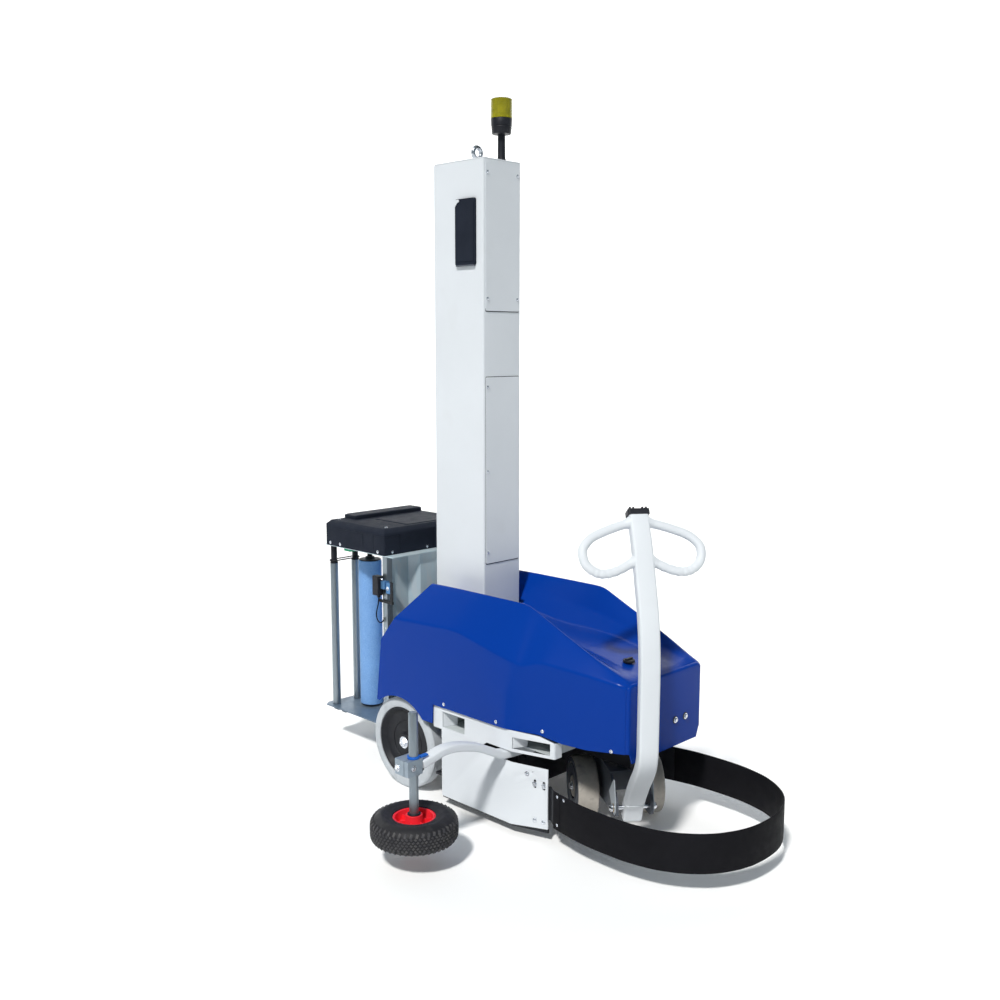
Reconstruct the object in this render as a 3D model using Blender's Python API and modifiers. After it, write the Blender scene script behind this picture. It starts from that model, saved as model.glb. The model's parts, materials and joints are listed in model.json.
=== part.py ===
"""Mobile pallet wrapping robot: mast, film carriage, drive base, hood, steering tiller, feeler arm and bumper.

Metres, +Z up, +X towards the tiller, +Y to the machine's left. Plan coordinates below are taken
from the mast axis; PLAN_SHIFT moves the whole machine so that its box is centred on the origin.
"""
import math

import bmesh
import bpy
import numpy as np

for old in list(bpy.data.objects):
    bpy.data.objects.remove(old, do_unlink=True)

# Driving dimensions ---------------------------------------------------------------------------
PLAN_SHIFT = (-0.2575, 0.2350)
GAP = 0.0004

MAST_X = 0.120
MAST_Y = 0.090
MAST_WALL = 0.004
MAST_FOOT_Z = 0.2134
MAST_TOP_Z = 2.1526
CAP_TOP_Z = 2.157
SLOT_HALF = 0.030

PLATE_OUT_Y = 0.301
PLATE_T = 0.004
BEND_X = 0.455
BEND_SLOPE = 0.2917
POCKET_REAR = (0.135, 0.242, 0.276, 0.330)
POCKET_FRONT = (0.458, 0.586, 0.285, 0.323)
POCKET_WALL = 0.004

REAR_WHEEL = (-0.084, 0.161)
REAR_RADIUS = 0.161
REAR_OUT_Y = 0.290
REAR_WIDTH = 0.055
AXLE_R = 0.0125

STEER_X = 0.670
STEER_YAW = math.radians(-37.0)
FRONT_TRAIL = 0.110
FRONT_HALF_TRACK = 0.110
FRONT_RADIUS = 0.100
FRONT_WIDTH = 0.070
PIN_U = 0.115
PIN_Z = 0.115
POST_W = 0.060
POST_D = 0.040
POST_SPLIT_Z = 0.870

FEELER = (0.385, -0.646)
FEELER_PIVOT = (0.430, -0.200)
FEELER_Z = 0.105
FEELER_RADIUS = 0.1335
FEELER_WIDTH = 0.085
FEELER_TUBE_R = 0.0143

LIFT_Y = 0.050
PULLEY_R = 0.022
PULLEY_LOW_Z = 0.270
PULLEY_HIGH_Z = 1.930

CAR_BASE_Z = 0.142
CAR_TOP_Z = 0.782
ROLLER_A = (-0.542, -0.059)
ROLLER_B = (-0.452, 0.011)
ROLLER_R = 0.045
MANDREL = (-0.500, 0.150)
TUBE_A = (-0.6445, -0.1540)
TUBE_B = (-0.6445, -0.0514)
BELT_Z = 0.719

BEACON = (0.060, 0.057)
LATCH = (0.722, -0.050)
BUMPER_Z = (0.067, 0.187)

# Scene bookkeeping ----------------------------------------------------------------------------
scene = bpy.context.scene
parts = bpy.data.collections.new("mobile_pallet_wrapper")
helpers = bpy.data.collections.new("cutters")
scene.collection.children.link(parts)
scene.collection.children.link(helpers)


def material(name, colour, roughness, metallic):
    """One Principled material."""
    made = bpy.data.materials.new(name)
    made.use_nodes = True
    shader = made.node_tree.nodes["Principled BSDF"]
    shader.inputs["Base Color"].default_value = (*colour, 1.0)
    shader.inputs["Roughness"].default_value = roughness
    shader.inputs["Metallic"].default_value = metallic
    made.diffuse_color = (*colour, 1.0)
    return made


PALETTE = {
    "white_paint": ((0.80, 0.82, 0.84), 0.35, 0.0),
    "blue_paint": ((0.010, 0.070, 0.42), 0.22, 0.0),
    "black_paint": ((0.025, 0.025, 0.030), 0.50, 0.0),
    "zinc": ((0.56, 0.60, 0.64), 0.38, 1.0),
    "steel": ((0.60, 0.60, 0.62), 0.30, 1.0),
    "grey_steel": ((0.22, 0.24, 0.27), 0.50, 0.0),
    "black_plastic": ((0.020, 0.022, 0.030), 0.45, 0.0),
    "black_rubber": ((0.018, 0.018, 0.020), 0.75, 0.0),
    "grey_tyre": ((0.38, 0.41, 0.44), 0.60, 0.0),
    "grey_tread": ((0.25, 0.26, 0.27), 0.60, 0.0),
    "red_plastic": ((0.75, 0.02, 0.03), 0.35, 0.0),
    "amber": ((0.40, 0.34, 0.01), 0.20, 0.0),
    "blue_rubber": ((0.20, 0.42, 0.75), 0.70, 0.0),
    "battery_case": ((0.05, 0.05, 0.06), 0.50, 0.0),
    "belt": ((0.02, 0.02, 0.02), 0.70, 0.0),
}


def mesh_node(name, shape, colour, origin=(0.0, 0.0, 0.0), helper=False):
    """A mesh object from (vertices, faces) in machine coordinates, its origin at the given point."""
    vertices, faces = shape
    data = bpy.data.meshes.new(name)
    shift = np.array(origin, float)
    data.from_pydata([tuple(np.array(v, float) - shift) for v in vertices], [], faces)
    work = bmesh.new()
    work.from_mesh(data)
    bmesh.ops.recalc_face_normals(work, faces=work.faces)
    work.to_mesh(data)
    work.free()
    made = bpy.data.objects.new(name, data)
    made.location = (origin[0] + PLAN_SHIFT[0], origin[1] + PLAN_SHIFT[1], origin[2])
    if helper:
        made.hide_render = True
        made.display_type = "WIRE"
        helpers.objects.link(made)
        return made
    data.materials.append(material(name + "_material", *PALETTE[colour]))
    parts.objects.link(made)
    return made


def boolean(target, shapes, operation):
    """Cuts from, or joins to, the target each closed shape given."""
    for shape in shapes:
        count = len(helpers.objects)
        other = mesh_node(f"{target.name}_{operation.lower()}_{count}", shape, None, helper=True)
        step = target.modifiers.new(f"{operation.lower()}_{count}", "BOOLEAN")
        step.operation = operation
        step.solver = "EXACT"
        step.object = other
    return target


def cut(target, *shapes):
    return boolean(target, shapes, "DIFFERENCE")


def join(target, *shapes):
    return boolean(target, shapes, "UNION")


# Shapes: each returns (vertices, faces) of one closed body -------------------------------------
def box(x0, x1, y0, y1, z0, z1):
    return prism([(x0, y0), (x1, y0), (x1, y1), (x0, y1)], z0, z1)


def prism(outline, low, high, place=None):
    """The outline extruded from low to high. place(a, b, height) gives the point, plan by default."""
    if place is None:
        place = plan_point
    count = len(outline)
    vertices = [place(a, b, low) for a, b in outline] + [place(a, b, high) for a, b in outline]
    faces = [tuple(range(count)), tuple(range(2 * count - 1, count - 1, -1))]
    for i in range(count):
        j = (i + 1) % count
        faces.append((i, i + count, j + count, j))
    return vertices, faces


def plan_point(a, b, height):
    return (a, b, height)


def side_point(a, b, height):
    """Outline in X and Z, extruded along Y."""
    return (a, height, b)


def end_point(a, b, height):
    """Outline in Y and Z, extruded along X."""
    return (height, a, b)


def steer_point(u, w, z):
    """A point from the steering frame: u forward of the king pin, w to its left."""
    c = math.cos(STEER_YAW)
    s = math.sin(STEER_YAW)
    return (STEER_X + u * c - w * s, u * s + w * c, z)


def steer_side(a, b, height):
    return steer_point(a, height, b)


def frame_of(direction):
    """Two unit vectors square to the direction."""
    d = np.array(direction, float)
    d /= np.linalg.norm(d)
    seed = np.array((0.0, 0.0, 1.0)) if abs(d[2]) < 0.9 else np.array((1.0, 0.0, 0.0))
    first = np.cross(d, seed)
    first /= np.linalg.norm(first)
    return first, np.cross(d, first)


def lathe(centre, direction, profile, sides):
    """A profile of (distance along the axis, radius) turned about the axis. The ends at radius 0 close it,
    otherwise the profile is a closed ring."""
    d = np.array(direction, float)
    d /= np.linalg.norm(d)
    first, second = frame_of(d)
    centre = np.array(centre, float)
    vertices = []
    rows = []
    for along, radius in profile:
        if radius < 1e-6:
            rows.append([len(vertices)])
            vertices.append(tuple(centre + d * along))
            continue
        row = []
        for k in range(sides):
            angle = 2 * math.pi * k / sides
            row.append(len(vertices))
            vertices.append(
                tuple(centre + d * along + radius * (first * math.cos(angle) + second * math.sin(angle)))
            )
        rows.append(row)
    pairs = list(zip(rows[:-1], rows[1:]))
    if len(rows[0]) > 1:
        pairs.append((rows[-1], rows[0]))
    faces = []
    for near, far in pairs:
        for k in range(sides):
            m = (k + 1) % sides
            corners = [near[k % len(near)], near[m % len(near)], far[m % len(far)], far[k % len(far)]]
            kept = []
            for corner in corners:
                if corner not in kept:
                    kept.append(corner)
            if len(kept) > 2:
                faces.append(tuple(kept))
    return vertices, faces


def cylinder(start, end, radius, sides=24):
    span = np.array(end, float) - np.array(start, float)
    length = float(np.linalg.norm(span))
    return lathe(start, span, [(0, 0), (0, radius), (length, radius), (length, 0)], sides)


def pipe(start, end, outer, inner, sides=24):
    span = np.array(end, float) - np.array(start, float)
    length = float(np.linalg.norm(span))
    return lathe(start, span, [(0, inner), (0, outer), (length, outer), (length, inner)], sides)


def sweep(path, section, side=(0.0, 0.0, 1.0), closed=False):
    """A section of (across, along side) offsets carried along a path of points, mitred at each bend."""
    points = [np.array(p, float) for p in path]
    count = len(points)
    side = np.array(side, float)
    vertices = []
    for i, point in enumerate(points):
        before = points[i - 1] if i or closed else None
        after = points[(i + 1) % count] if i + 1 < count or closed else None
        legs = []
        if before is not None:
            legs.append((point - before) / np.linalg.norm(point - before))
        if after is not None:
            legs.append((after - point) / np.linalg.norm(after - point))
        tangent = sum(legs) / np.linalg.norm(sum(legs))
        across = np.cross(tangent, side)
        across /= np.linalg.norm(across)
        stretch = 1.0 / max(0.5, float(np.dot(tangent, legs[0])))
        up = np.cross(across, tangent)
        if abs(np.dot(legs[0], side)) < 1e-6 and abs(np.dot(legs[-1], side)) < 1e-6:
            wide, tall = stretch, 1.0
        else:
            wide, tall = 1.0, stretch
        for a, b in section:
            vertices.append(tuple(point + across * a * wide + up * b * tall))
    size = len(section)
    faces = []
    for i in range(count if closed else count - 1):
        j = (i + 1) % count
        for k in range(size):
            m = (k + 1) % size
            faces.append((i * size + k, i * size + m, j * size + m, j * size + k))
    if not closed:
        faces.append(tuple(range(size - 1, -1, -1)))
        faces.append(tuple((count - 1) * size + k for k in range(size)))
    return vertices, faces


def round_section(radius, sides):
    return [
        (radius * math.cos(2 * math.pi * k / sides), radius * math.sin(2 * math.pi * k / sides))
        for k in range(sides)
    ]


def flat_section(width, height):
    return [
        (-width / 2, -height / 2),
        (width / 2, -height / 2),
        (width / 2, height / 2),
        (-width / 2, height / 2),
    ]


def eased_section(width, height, corner):
    """A rectangle with each corner cut off by a short flat."""
    w = width / 2
    h = height / 2
    c = corner
    return [
        (-w + c, -h), (w - c, -h), (w, -h + c), (w, h - c),
        (w - c, h), (-w + c, h), (-w, h - c), (-w, -h + c),
    ]


def mirror_y(shape):
    vertices, faces = shape
    return [(x, -y, z) for x, y, z in vertices], [tuple(reversed(f)) for f in faces]


# Chassis --------------------------------------------------------------------------------------
frame = mesh_node("chassis_frame", box(-0.140, 0.400, -0.212, 0.212, 0.100, 0.108), "black_paint")
join(
    frame,
    box(0.095, 0.390, -0.2966, 0.2966, 0.100, 0.108),
    box(-0.140, 0.400, 0.204, 0.212, 0.104, 0.250),
    box(-0.140, 0.400, -0.212, -0.204, 0.104, 0.250),
    box(-0.130, 0.130, -0.208, 0.208, 0.205, 0.213),
    box(0.390, 0.400, -0.208, 0.208, 0.104, 0.268),
    box(0.395, 0.735, -0.050, 0.050, 0.226, 0.268),
    box(0.396, 0.450, -0.225, -0.175, 0.2300, 0.2420),
    cylinder((*FEELER_PIVOT, 0.2360), (*FEELER_PIVOT, 0.2740), 0.008, 16),
)
cut(
    frame,
    cylinder((REAR_WHEEL[0], -0.3, REAR_WHEEL[1]), (REAR_WHEEL[0], 0.3, REAR_WHEEL[1]), AXLE_R + GAP),
    cylinder((STEER_X, 0, 0.200), (STEER_X, 0, 0.300), 0.0204),
)

BATTERY = mesh_node("battery_pack", box(0.145, 0.385, -0.190, 0.190, 0.1084, 0.258), "battery_case")
join(
    BATTERY,
    cylinder((0.170, 0.150, 0.250), (0.170, 0.150, 0.268), 0.009, 16),
    cylinder((0.170, -0.150, 0.250), (0.170, -0.150, 0.268), 0.009, 16),
)
cut(BATTERY, box(0.140, 0.390, -0.0015, 0.0015, 0.225, 0.270))

drive = mesh_node("drive_unit", box(-0.128, -0.040, -0.080, 0.080, 0.118, 0.2042), "grey_steel")
join(drive, cylinder((-0.045, 0.035, 0.161), (0.095, 0.035, 0.161), 0.040, 24))
cut(
    drive,
    cylinder((REAR_WHEEL[0], -0.3, REAR_WHEEL[1]), (REAR_WHEEL[0], 0.3, REAR_WHEEL[1]), AXLE_R + GAP),
)
mesh_node(
    "rear_axle",
    cylinder((REAR_WHEEL[0], -0.289, REAR_WHEEL[1]), (REAR_WHEEL[0], 0.289, REAR_WHEEL[1]), AXLE_R),
    "steel",
)


def side_plate(sign):
    """A bent plate: a lower panel, an upper band with the two fork openings, and the slot between them."""
    y_in = PLATE_OUT_Y - PLATE_T

    def place(a, b, depth):
        inward = max(0.0, a - BEND_X) * BEND_SLOPE
        return (a, sign * (depth - inward), b)

    name = "side_plate_right" if sign < 0 else "side_plate_left"
    rear = [
        (0.130, 0.035), (BEND_X, 0.035), (BEND_X, 0.241), (0.345, 0.244), (0.330, 0.248),
        (0.330, 0.266), (0.345, 0.2765), (BEND_X, 0.2755), (BEND_X, 0.345), (0.090, 0.345),
        (0.090, 0.268), (0.130, 0.268),
    ]
    low = [(BEND_X - 0.0002, 0.035), (0.579, 0.043), (0.579, 0.239), (BEND_X - 0.0002, 0.241)]
    band = [(BEND_X - 0.0002, 0.2755), (0.600, 0.2755), (0.600, 0.3265), (0.550, 0.3415), (BEND_X - 0.0002, 0.345)]
    plate = mesh_node(name, prism(rear, y_in, PLATE_OUT_Y, place), "white_paint")
    join(
        plate,
        prism(low, y_in, PLATE_OUT_Y, place),
        prism(band, y_in, PLATE_OUT_Y, place),
    )
    flange = [(0.598, 0.2755), (0.602, 0.2755), (0.602, 0.3260), (0.598, 0.3260)]

    def flange_place(a, b, depth):
        return (a, sign * depth, b)

    join(plate, prism(flange, 0.225, 0.257, flange_place))
    for x0, x1, z0, z1 in (POCKET_REAR, POCKET_FRONT):
        hole = [(x0, z0), (x1, z0), (x1, z1), (x0, z1)]
        cut(plate, prism(hole, 0.20, 0.40, flange_place))
    return plate


side_plate(-1)
side_plate(1)


def fork_pocket(name, extent, half):
    x0, x1, z0, z1 = extent
    w = POCKET_WALL
    sleeve = mesh_node(name, box(x0 - w, x1 + w, -half, half, z0 - w, z1 + w), "white_paint")
    cut(sleeve, box(x0, x1, -half - 0.05, half + 0.05, z0, z1))


fork_pocket("fork_pocket_rear", POCKET_REAR, 0.2964)
fork_pocket("fork_pocket_front", POCKET_FRONT, 0.2550)

# Hood -----------------------------------------------------------------------------------------
# Half sections from the bottom edge up over the shoulder and ridge to the middle of the sunken top.
HOOD_SECTIONS = [
    [(-0.202, 0.308, 0.298), (-0.175, 0.308, 0.523), (-0.100, 0.308, 0.612), (-0.035, 0.187, 0.727),
     (-0.035, 0.145, 0.700), (-0.035, 0.090, 0.664), (-0.035, 0.0, 0.664)],
    [(0.020, 0.308, 0.280), (0.020, 0.308, 0.450), (0.020, 0.308, 0.618), (0.030, 0.187, 0.729),
     (0.030, 0.145, 0.692), (0.030, 0.090, 0.654), (0.030, 0.0, 0.654)],
    [(0.090, 0.308, 0.280), (0.090, 0.308, 0.450), (0.100, 0.308, 0.621), (0.100, 0.187, 0.730),
     (0.100, 0.145, 0.684), (0.100, 0.090, 0.642), (0.100, 0.0, 0.642)],
    [(0.094, 0.308, 0.3465), (0.140, 0.308, 0.460), (0.214, 0.308, 0.626), (0.200, 0.187, 0.730),
     (0.200, 0.145, 0.672), (0.200, 0.093, 0.618), (0.200, 0.0, 0.618)],
    [(0.300, 0.308, 0.3465), (0.320, 0.308, 0.450), (0.340, 0.308, 0.597), (0.320, 0.187, 0.730),
     (0.330, 0.145, 0.655), (0.330, 0.093, 0.600), (0.330, 0.0, 0.600)],
    [(0.430, 0.308, 0.3465), (0.430, 0.308, 0.450), (0.464, 0.298, 0.567), (0.420, 0.187, 0.730),
     (0.450, 0.145, 0.642), (0.450, 0.093, 0.598), (0.450, 0.0, 0.598)],
    [(0.486, 0.291, 0.3465), (0.486, 0.291, 0.450), (0.490, 0.290, 0.560), (0.480, 0.187, 0.703),
     (0.520, 0.145, 0.629), (0.520, 0.093, 0.595), (0.520, 0.0, 0.595)],
    [(0.547, 0.273, 0.3465), (0.547, 0.273, 0.450), (0.547, 0.273, 0.581), (0.545, 0.187, 0.673),
     (0.580, 0.145, 0.614), (0.580, 0.093, 0.590), (0.580, 0.0, 0.590)],
    [(0.622, 0.250, 0.3300), (0.615, 0.252, 0.440), (0.610, 0.2535, 0.572), (0.610, 0.187, 0.644),
     (0.645, 0.145, 0.598), (0.645, 0.093, 0.579), (0.645, 0.0, 0.579)],
    [(0.700, 0.227, 0.3250), (0.700, 0.227, 0.430), (0.700, 0.227, 0.559), (0.700, 0.187, 0.603),
     (0.725, 0.145, 0.577), (0.725, 0.093, 0.566), (0.725, 0.0, 0.566)],
    [(0.831, 0.187, 0.3330), (0.831, 0.187, 0.430), (0.831, 0.187, 0.5380), (0.829, 0.170, 0.546),
     (0.829, 0.130, 0.546), (0.829, 0.085, 0.546), (0.829, 0.0, 0.546)],
]
HOOD_FRONT_LOW_Z = 0.300


def hood_surface():
    """The open outer skin: a grid over the length, then the front wall below its last section."""
    rows = []
    for half in HOOD_SECTIONS:
        right = [(x, -y, z) for x, y, z in half]
        rows.append(right + [(x, y, z) for x, y, z in reversed(half[:-1])])
    vertices = []
    index = []
    for row in rows:
        index.append(list(range(len(vertices), len(vertices) + len(row))))
        vertices.extend(row)
    faces = []
    for near, far in zip(index[:-1], index[1:]):
        for k in range(len(near) - 1):
            faces.append((near[k], far[k], far[k + 1]))
            faces.append((near[k], far[k + 1], near[k + 1]))
    last = index[-1]
    top = last[2:-2]
    widths = [vertices[k][1] for k in top]
    middle = [last[1]]
    lowest = [last[0]]
    for y in widths[1:-1]:
        middle.append(len(vertices))
        vertices.append((0.831, y, 0.430))
        lowest.append(len(vertices))
        vertices.append((0.831, y, HOOD_FRONT_LOW_Z))
    middle.append(last[-2])
    lowest.append(last[-1])
    for upper, under in ((top, middle), (middle, lowest)):
        for k in range(len(upper) - 1):
            faces.append((upper[k], under[k], under[k + 1]))
            faces.append((upper[k], under[k + 1], upper[k + 1]))
    return vertices, faces


hood = mesh_node("hood", hood_surface(), "blue_paint")
shell = hood.modifiers.new("wall", "SOLIDIFY")
shell.thickness = 0.004
shell.offset = -1.0
shell.use_even_offset = True
cut(
    hood,
    box(-0.400, 0.133, -0.103, 0.103, 0.500, 0.900),
    cylinder((REAR_WHEEL[0], -0.40, REAR_WHEEL[1]), (REAR_WHEEL[0], -0.20, REAR_WHEEL[1]), 0.172, 40),
    cylinder((REAR_WHEEL[0], 0.20, REAR_WHEEL[1]), (REAR_WHEEL[0], 0.40, REAR_WHEEL[1]), 0.172, 40),
)
latch = mesh_node(
    "hood_latch",
    cylinder((*LATCH, 0.5700), (*LATCH, 0.5770), 0.019, 20),
    "black_plastic",
    origin=(*LATCH, 0.5735),
)
join(latch, box(LATCH[0] - 0.004, LATCH[0] + 0.004, LATCH[1] - 0.016, LATCH[1] + 0.016, 0.575, 0.583))

# Mast -----------------------------------------------------------------------------------------
corner = []
for sx, sy, start in ((1, -1, -90), (1, 1, 0)):
    for step in range(4):
        angle = math.radians(start + 30 * step)
        corner.append((
            sx * (MAST_X - 0.008) + 0.008 * math.cos(angle),
            sy * (MAST_Y - 0.008) + 0.008 * math.sin(angle),
        ))
w = MAST_WALL
mast_plan = corner + [
    (-MAST_X, MAST_Y), (-MAST_X, SLOT_HALF), (-MAST_X + w, SLOT_HALF), (-MAST_X + w, MAST_Y - w),
    (MAST_X - w, MAST_Y - w), (MAST_X - w, -MAST_Y + w), (-MAST_X + w, -MAST_Y + w),
    (-MAST_X + w, -SLOT_HALF), (-MAST_X, -SLOT_HALF), (-MAST_X, -MAST_Y),
]
mesh_node("mast_column", prism(mast_plan, MAST_FOOT_Z, MAST_TOP_Z), "white_paint")
cap = mesh_node(
    "mast_top_cap",
    box(-MAST_X - 0.0005, MAST_X + 0.0005, -MAST_Y - 0.0005, MAST_Y + 0.0005, MAST_TOP_Z + GAP, CAP_TOP_Z),
    "white_paint",
)
mesh_node("mast_upper_panel", box(0.1203, 0.1225, -0.080, 0.080, 1.660, 2.143), "white_paint")
mesh_node("mast_lower_panel", box(0.1203, 0.1225, -0.080, 0.080, 0.800, 1.439), "white_paint")
vent = mesh_node("mast_vent_cover", box(-0.007, 0.088, -0.1005, -0.0903, 1.812, 2.030), "black_plastic")
cut(
    vent,
    box(-0.020, 0.100, -0.1100, -0.0985, 2.018, 2.040),
    box(-0.020, 0.100, -0.1100, -0.0985, 1.800, 1.824),
)

mesh_node(
    "lift_guide_rail",
    prism(
        [(0.1155, -0.008), (0.1155, 0.008), (0.046, 0.008), (0.046, 0.016), (0.030, 0.016),
         (0.030, -0.016), (0.046, -0.016), (0.046, -0.008)],
        0.2250, 1.8500,
    ),
    "steel",
)
motor = mesh_node(
    "lift_motor",
    cylinder((-0.014, LIFT_Y, PULLEY_HIGH_Z), (0.080, LIFT_Y, PULLEY_HIGH_Z), 0.032, 28),
    "black_paint",
)
join(motor, cylinder((-0.042, LIFT_Y, PULLEY_HIGH_Z), (0.0, LIFT_Y, PULLEY_HIGH_Z), 0.006, 16))
for name, z in (("lift_pulley_top", PULLEY_HIGH_Z), ("lift_pulley_bottom", PULLEY_LOW_Z)):
    mesh_node(
        name,
        lathe(
            (-0.040, LIFT_Y, z), (1, 0, 0),
            [(0, 0.0064), (0, PULLEY_R + 0.003), (0.0015, PULLEY_R + 0.003), (0.0015, PULLEY_R),
             (0.0175, PULLEY_R), (0.0175, PULLEY_R + 0.003), (0.019, PULLEY_R + 0.003), (0.019, 0.0064)],
            24,
        ),
        "grey_steel",
        origin=(-0.0305, LIFT_Y, z),
    )
belt_path = []
for centre_z, start in ((PULLEY_HIGH_Z, 0), (PULLEY_LOW_Z, 180)):
    for step in range(13):
        angle = math.radians(start + 15 * step)
        r = (PULLEY_R + 0.0016) / math.cos(math.radians(7.5))
        belt_path.append((-0.0305, LIFT_Y + r * math.cos(angle), centre_z + r * math.sin(angle)))
mesh_node(
    "lift_belt",
    sweep(belt_path, flat_section(0.0012, 0.014), side=(1, 0, 0), closed=True),
    "belt",
)

eye = mesh_node(
    "lifting_eye",
    cylinder((0.0, 0.0, CAP_TOP_Z + GAP), (0.0, 0.0, 2.176), 0.010, 16),
    "zinc",
)
ring = [(0.0, 0.018 * math.cos(math.radians(22.5 * k)), 2.192 + 0.018 * math.sin(math.radians(22.5 * k)))
        for k in range(16)]
join(eye, sweep(ring, round_section(0.0055, 8), side=(1, 0, 0), closed=True))

bx, by = BEACON
mesh_node(
    "beacon_base",
    lathe(
        (bx, by, CAP_TOP_Z + GAP), (0, 0, 1),
        [(0, 0), (0, 0.020), (0.006, 0.020), (0.006, 0.0095), (0.090, 0.0095), (0.097, 0.024),
         (0.100, 0.034), (0.1460, 0.035), (0.1460, 0)],
        24,
    ),
    "black_plastic",
)
mesh_node(
    "beacon_lens",
    lathe(
        (bx, by, 2.3040), (0, 0, 1),
        [(0, 0), (0, 0.0315), (0.060, 0.0305), (0.068, 0.026), (0.0705, 0)],
        24,
    ),
    "amber",
)

panel = mesh_node("control_panel", box(-0.090, 0.030, 0.0904, 0.158, 0.780, 1.080), "black_plastic")
cut(panel, box(-0.078, 0.018, 0.1560, 0.1700, 0.930, 1.060))
cut(panel, cylinder((0.000, 0.140, 0.850), (0.000, 0.170, 0.850), 0.0105, 20))
mesh_node(
    "emergency_stop",
    lathe(
        (0.000, 0.1480, 0.850), (0, 1, 0),
        [(0, 0), (0, 0.0098), (0.018, 0.0098), (0.018, 0.020), (0.027, 0.020), (0.031, 0.015), (0.032, 0)],
        24,
    ),
    "red_plastic",
    origin=(0.000, 0.1480, 0.850),
)

# Bumper ---------------------------------------------------------------------------------------
BUMPER_HALF = [
    (0.620, 0.2815), (0.714, 0.3000), (0.770, 0.3055), (0.817, 0.3070), (0.870, 0.3065),
    (0.918, 0.3030), (0.965, 0.2945), (1.010, 0.2820), (1.043, 0.2670), (1.072, 0.2500),
    (1.099, 0.2295), (1.124, 0.2060), (1.147, 0.1770), (1.166, 0.1430), (1.183, 0.1010),
    (1.193, 0.0560),
]
band_path = [(x, -y) for x, y in BUMPER_HALF] + [(1.1965, 0.0)] + [(x, y) for x, y in reversed(BUMPER_HALF)]
bumper_mid = (BUMPER_Z[0] + BUMPER_Z[1]) / 2
mesh_node(
    "bumper_band",
    sweep(
        [(x, y, bumper_mid) for x, y in band_path],
        flat_section(0.005, BUMPER_Z[1] - BUMPER_Z[0]),
    ),
    "black_rubber",
    origin=(0.620, 0.0, bumper_mid),
)
STRIP = [(0.505, 0.2755), (0.583, 0.2535), (0.606, 0.2700), (0.622, 0.2770), (0.665, 0.2850)]
for name, sign in (("bumper_bracket_right", -1), ("bumper_bracket_left", 1)):
    mesh_node(
        name,
        sweep([(x, sign * y, bumper_mid) for x, y in STRIP], flat_section(0.003, 0.110)),
        "grey_steel",
    )

# Film carriage --------------------------------------------------------------------------------
base = mesh_node(
    "carriage_base_plate",
    prism(
        [(-0.668, -0.187), (-0.268, -0.187), (-0.253, -0.150), (-0.253, 0.200), (-0.300, 0.228),
         (-0.640, 0.228), (-0.675, 0.190), (-0.675, -0.020), (-0.655, -0.026), (-0.655, -0.036),
         (-0.675, -0.042), (-0.684, -0.165)],
        0.138, CAR_BASE_Z,
    ),
    "zinc",
)
mesh_node(
    "carriage_top_plate",
    box(-0.664, -0.253, -0.184, 0.238, CAR_TOP_Z, CAR_TOP_Z + 0.003),
    "zinc",
)
BACK = [(-0.2975, -0.157), (-0.2975, -0.075), (-0.2680, -0.040), (-0.2680, 0.040),
        (-0.2975, 0.075), (-0.2975, 0.222)]
back_mid = (CAR_BASE_Z + CAR_TOP_Z) / 2
mesh_node(
    "carriage_back_plate",
    sweep(
        [(x, y, back_mid) for x, y in BACK],
        flat_section(0.003, CAR_TOP_Z - CAR_BASE_Z - 2 * GAP),
    ),
    "zinc",
)
slide = mesh_node("carriage_slide_block", box(-0.2660, 0.026, -0.022, 0.022, 0.350, 0.600), "grey_steel")
join(
    slide,
    box(-0.010, 0.050, -0.0265, -0.0190, 0.350, 0.600),
    box(-0.010, 0.050, 0.0190, 0.0245, 0.350, 0.600),
)
outer = (-0.650, -0.2965, -0.187, 0.243)
cover = mesh_node(
    "carriage_cover",
    prism(
        [(outer[0], outer[2]), (outer[1], outer[2]), (outer[1], outer[3]), (outer[0], outer[3])],
        CAR_TOP_Z + 0.0034, 0.868,
    ),
    "black_plastic",
)
lid_low = [(outer[0], outer[2], 0.8675), (outer[1], outer[2], 0.8675), (outer[1], outer[3], 0.8675),
           (outer[0], outer[3], 0.8675)]
lid_high = [(outer[0] + 0.016, outer[2] + 0.016, 0.882), (outer[1] - 0.016, outer[2] + 0.016, 0.882),
            (outer[1] - 0.016, outer[3] - 0.016, 0.882), (outer[0] + 0.016, outer[3] - 0.016, 0.882)]
join(
    cover,
    (lid_low + lid_high,
     [(3, 2, 1, 0), (4, 5, 6, 7), (0, 1, 5, 4), (1, 2, 6, 5), (2, 3, 7, 6), (3, 0, 4, 7)]),
    box(-0.632, -0.560, -0.110, 0.226, 0.875, 0.898),
    box(-0.2980, -0.1900, 0.060, 0.225, CAR_TOP_Z + 0.0034, 0.866),
)
cut(
    cover,
    box(outer[0] + 0.004, outer[1] - 0.004, outer[2] + 0.004, outer[3] - 0.004, 0.700, 0.864),
    box(-0.3100, -0.1940, 0.064, 0.221, 0.700, 0.862),
)
mesh_node(
    "prestretch_motor",
    cylinder((-0.440, 0.120, CAR_TOP_Z + 0.0034), (-0.440, 0.120, 0.858), 0.048, 28),
    "grey_steel",
)
strut = [(-0.3115, -0.1855), (-0.2865, -0.1855), (-0.2865, -0.1605), (-0.2890, -0.1605),
         (-0.2890, -0.1830), (-0.3115, -0.1830)]
post = mesh_node("carriage_strut", prism(strut, CAR_BASE_Z + GAP, CAR_TOP_Z - GAP), "zinc")
for k in range(8):
    z = 0.20 + 0.045 * k
    cut(post, cylinder((-0.301, -0.20, z), (-0.301, -0.17, z), 0.0035, 10))
cell = mesh_node("photocell", box(-0.3330, -0.3080, -0.2080, -0.1860, 0.645, 0.705), "black_plastic")
join(cell, cylinder((-0.3205, -0.1970, 0.630), (-0.3205, -0.1970, 0.650), 0.006, 12))
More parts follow.
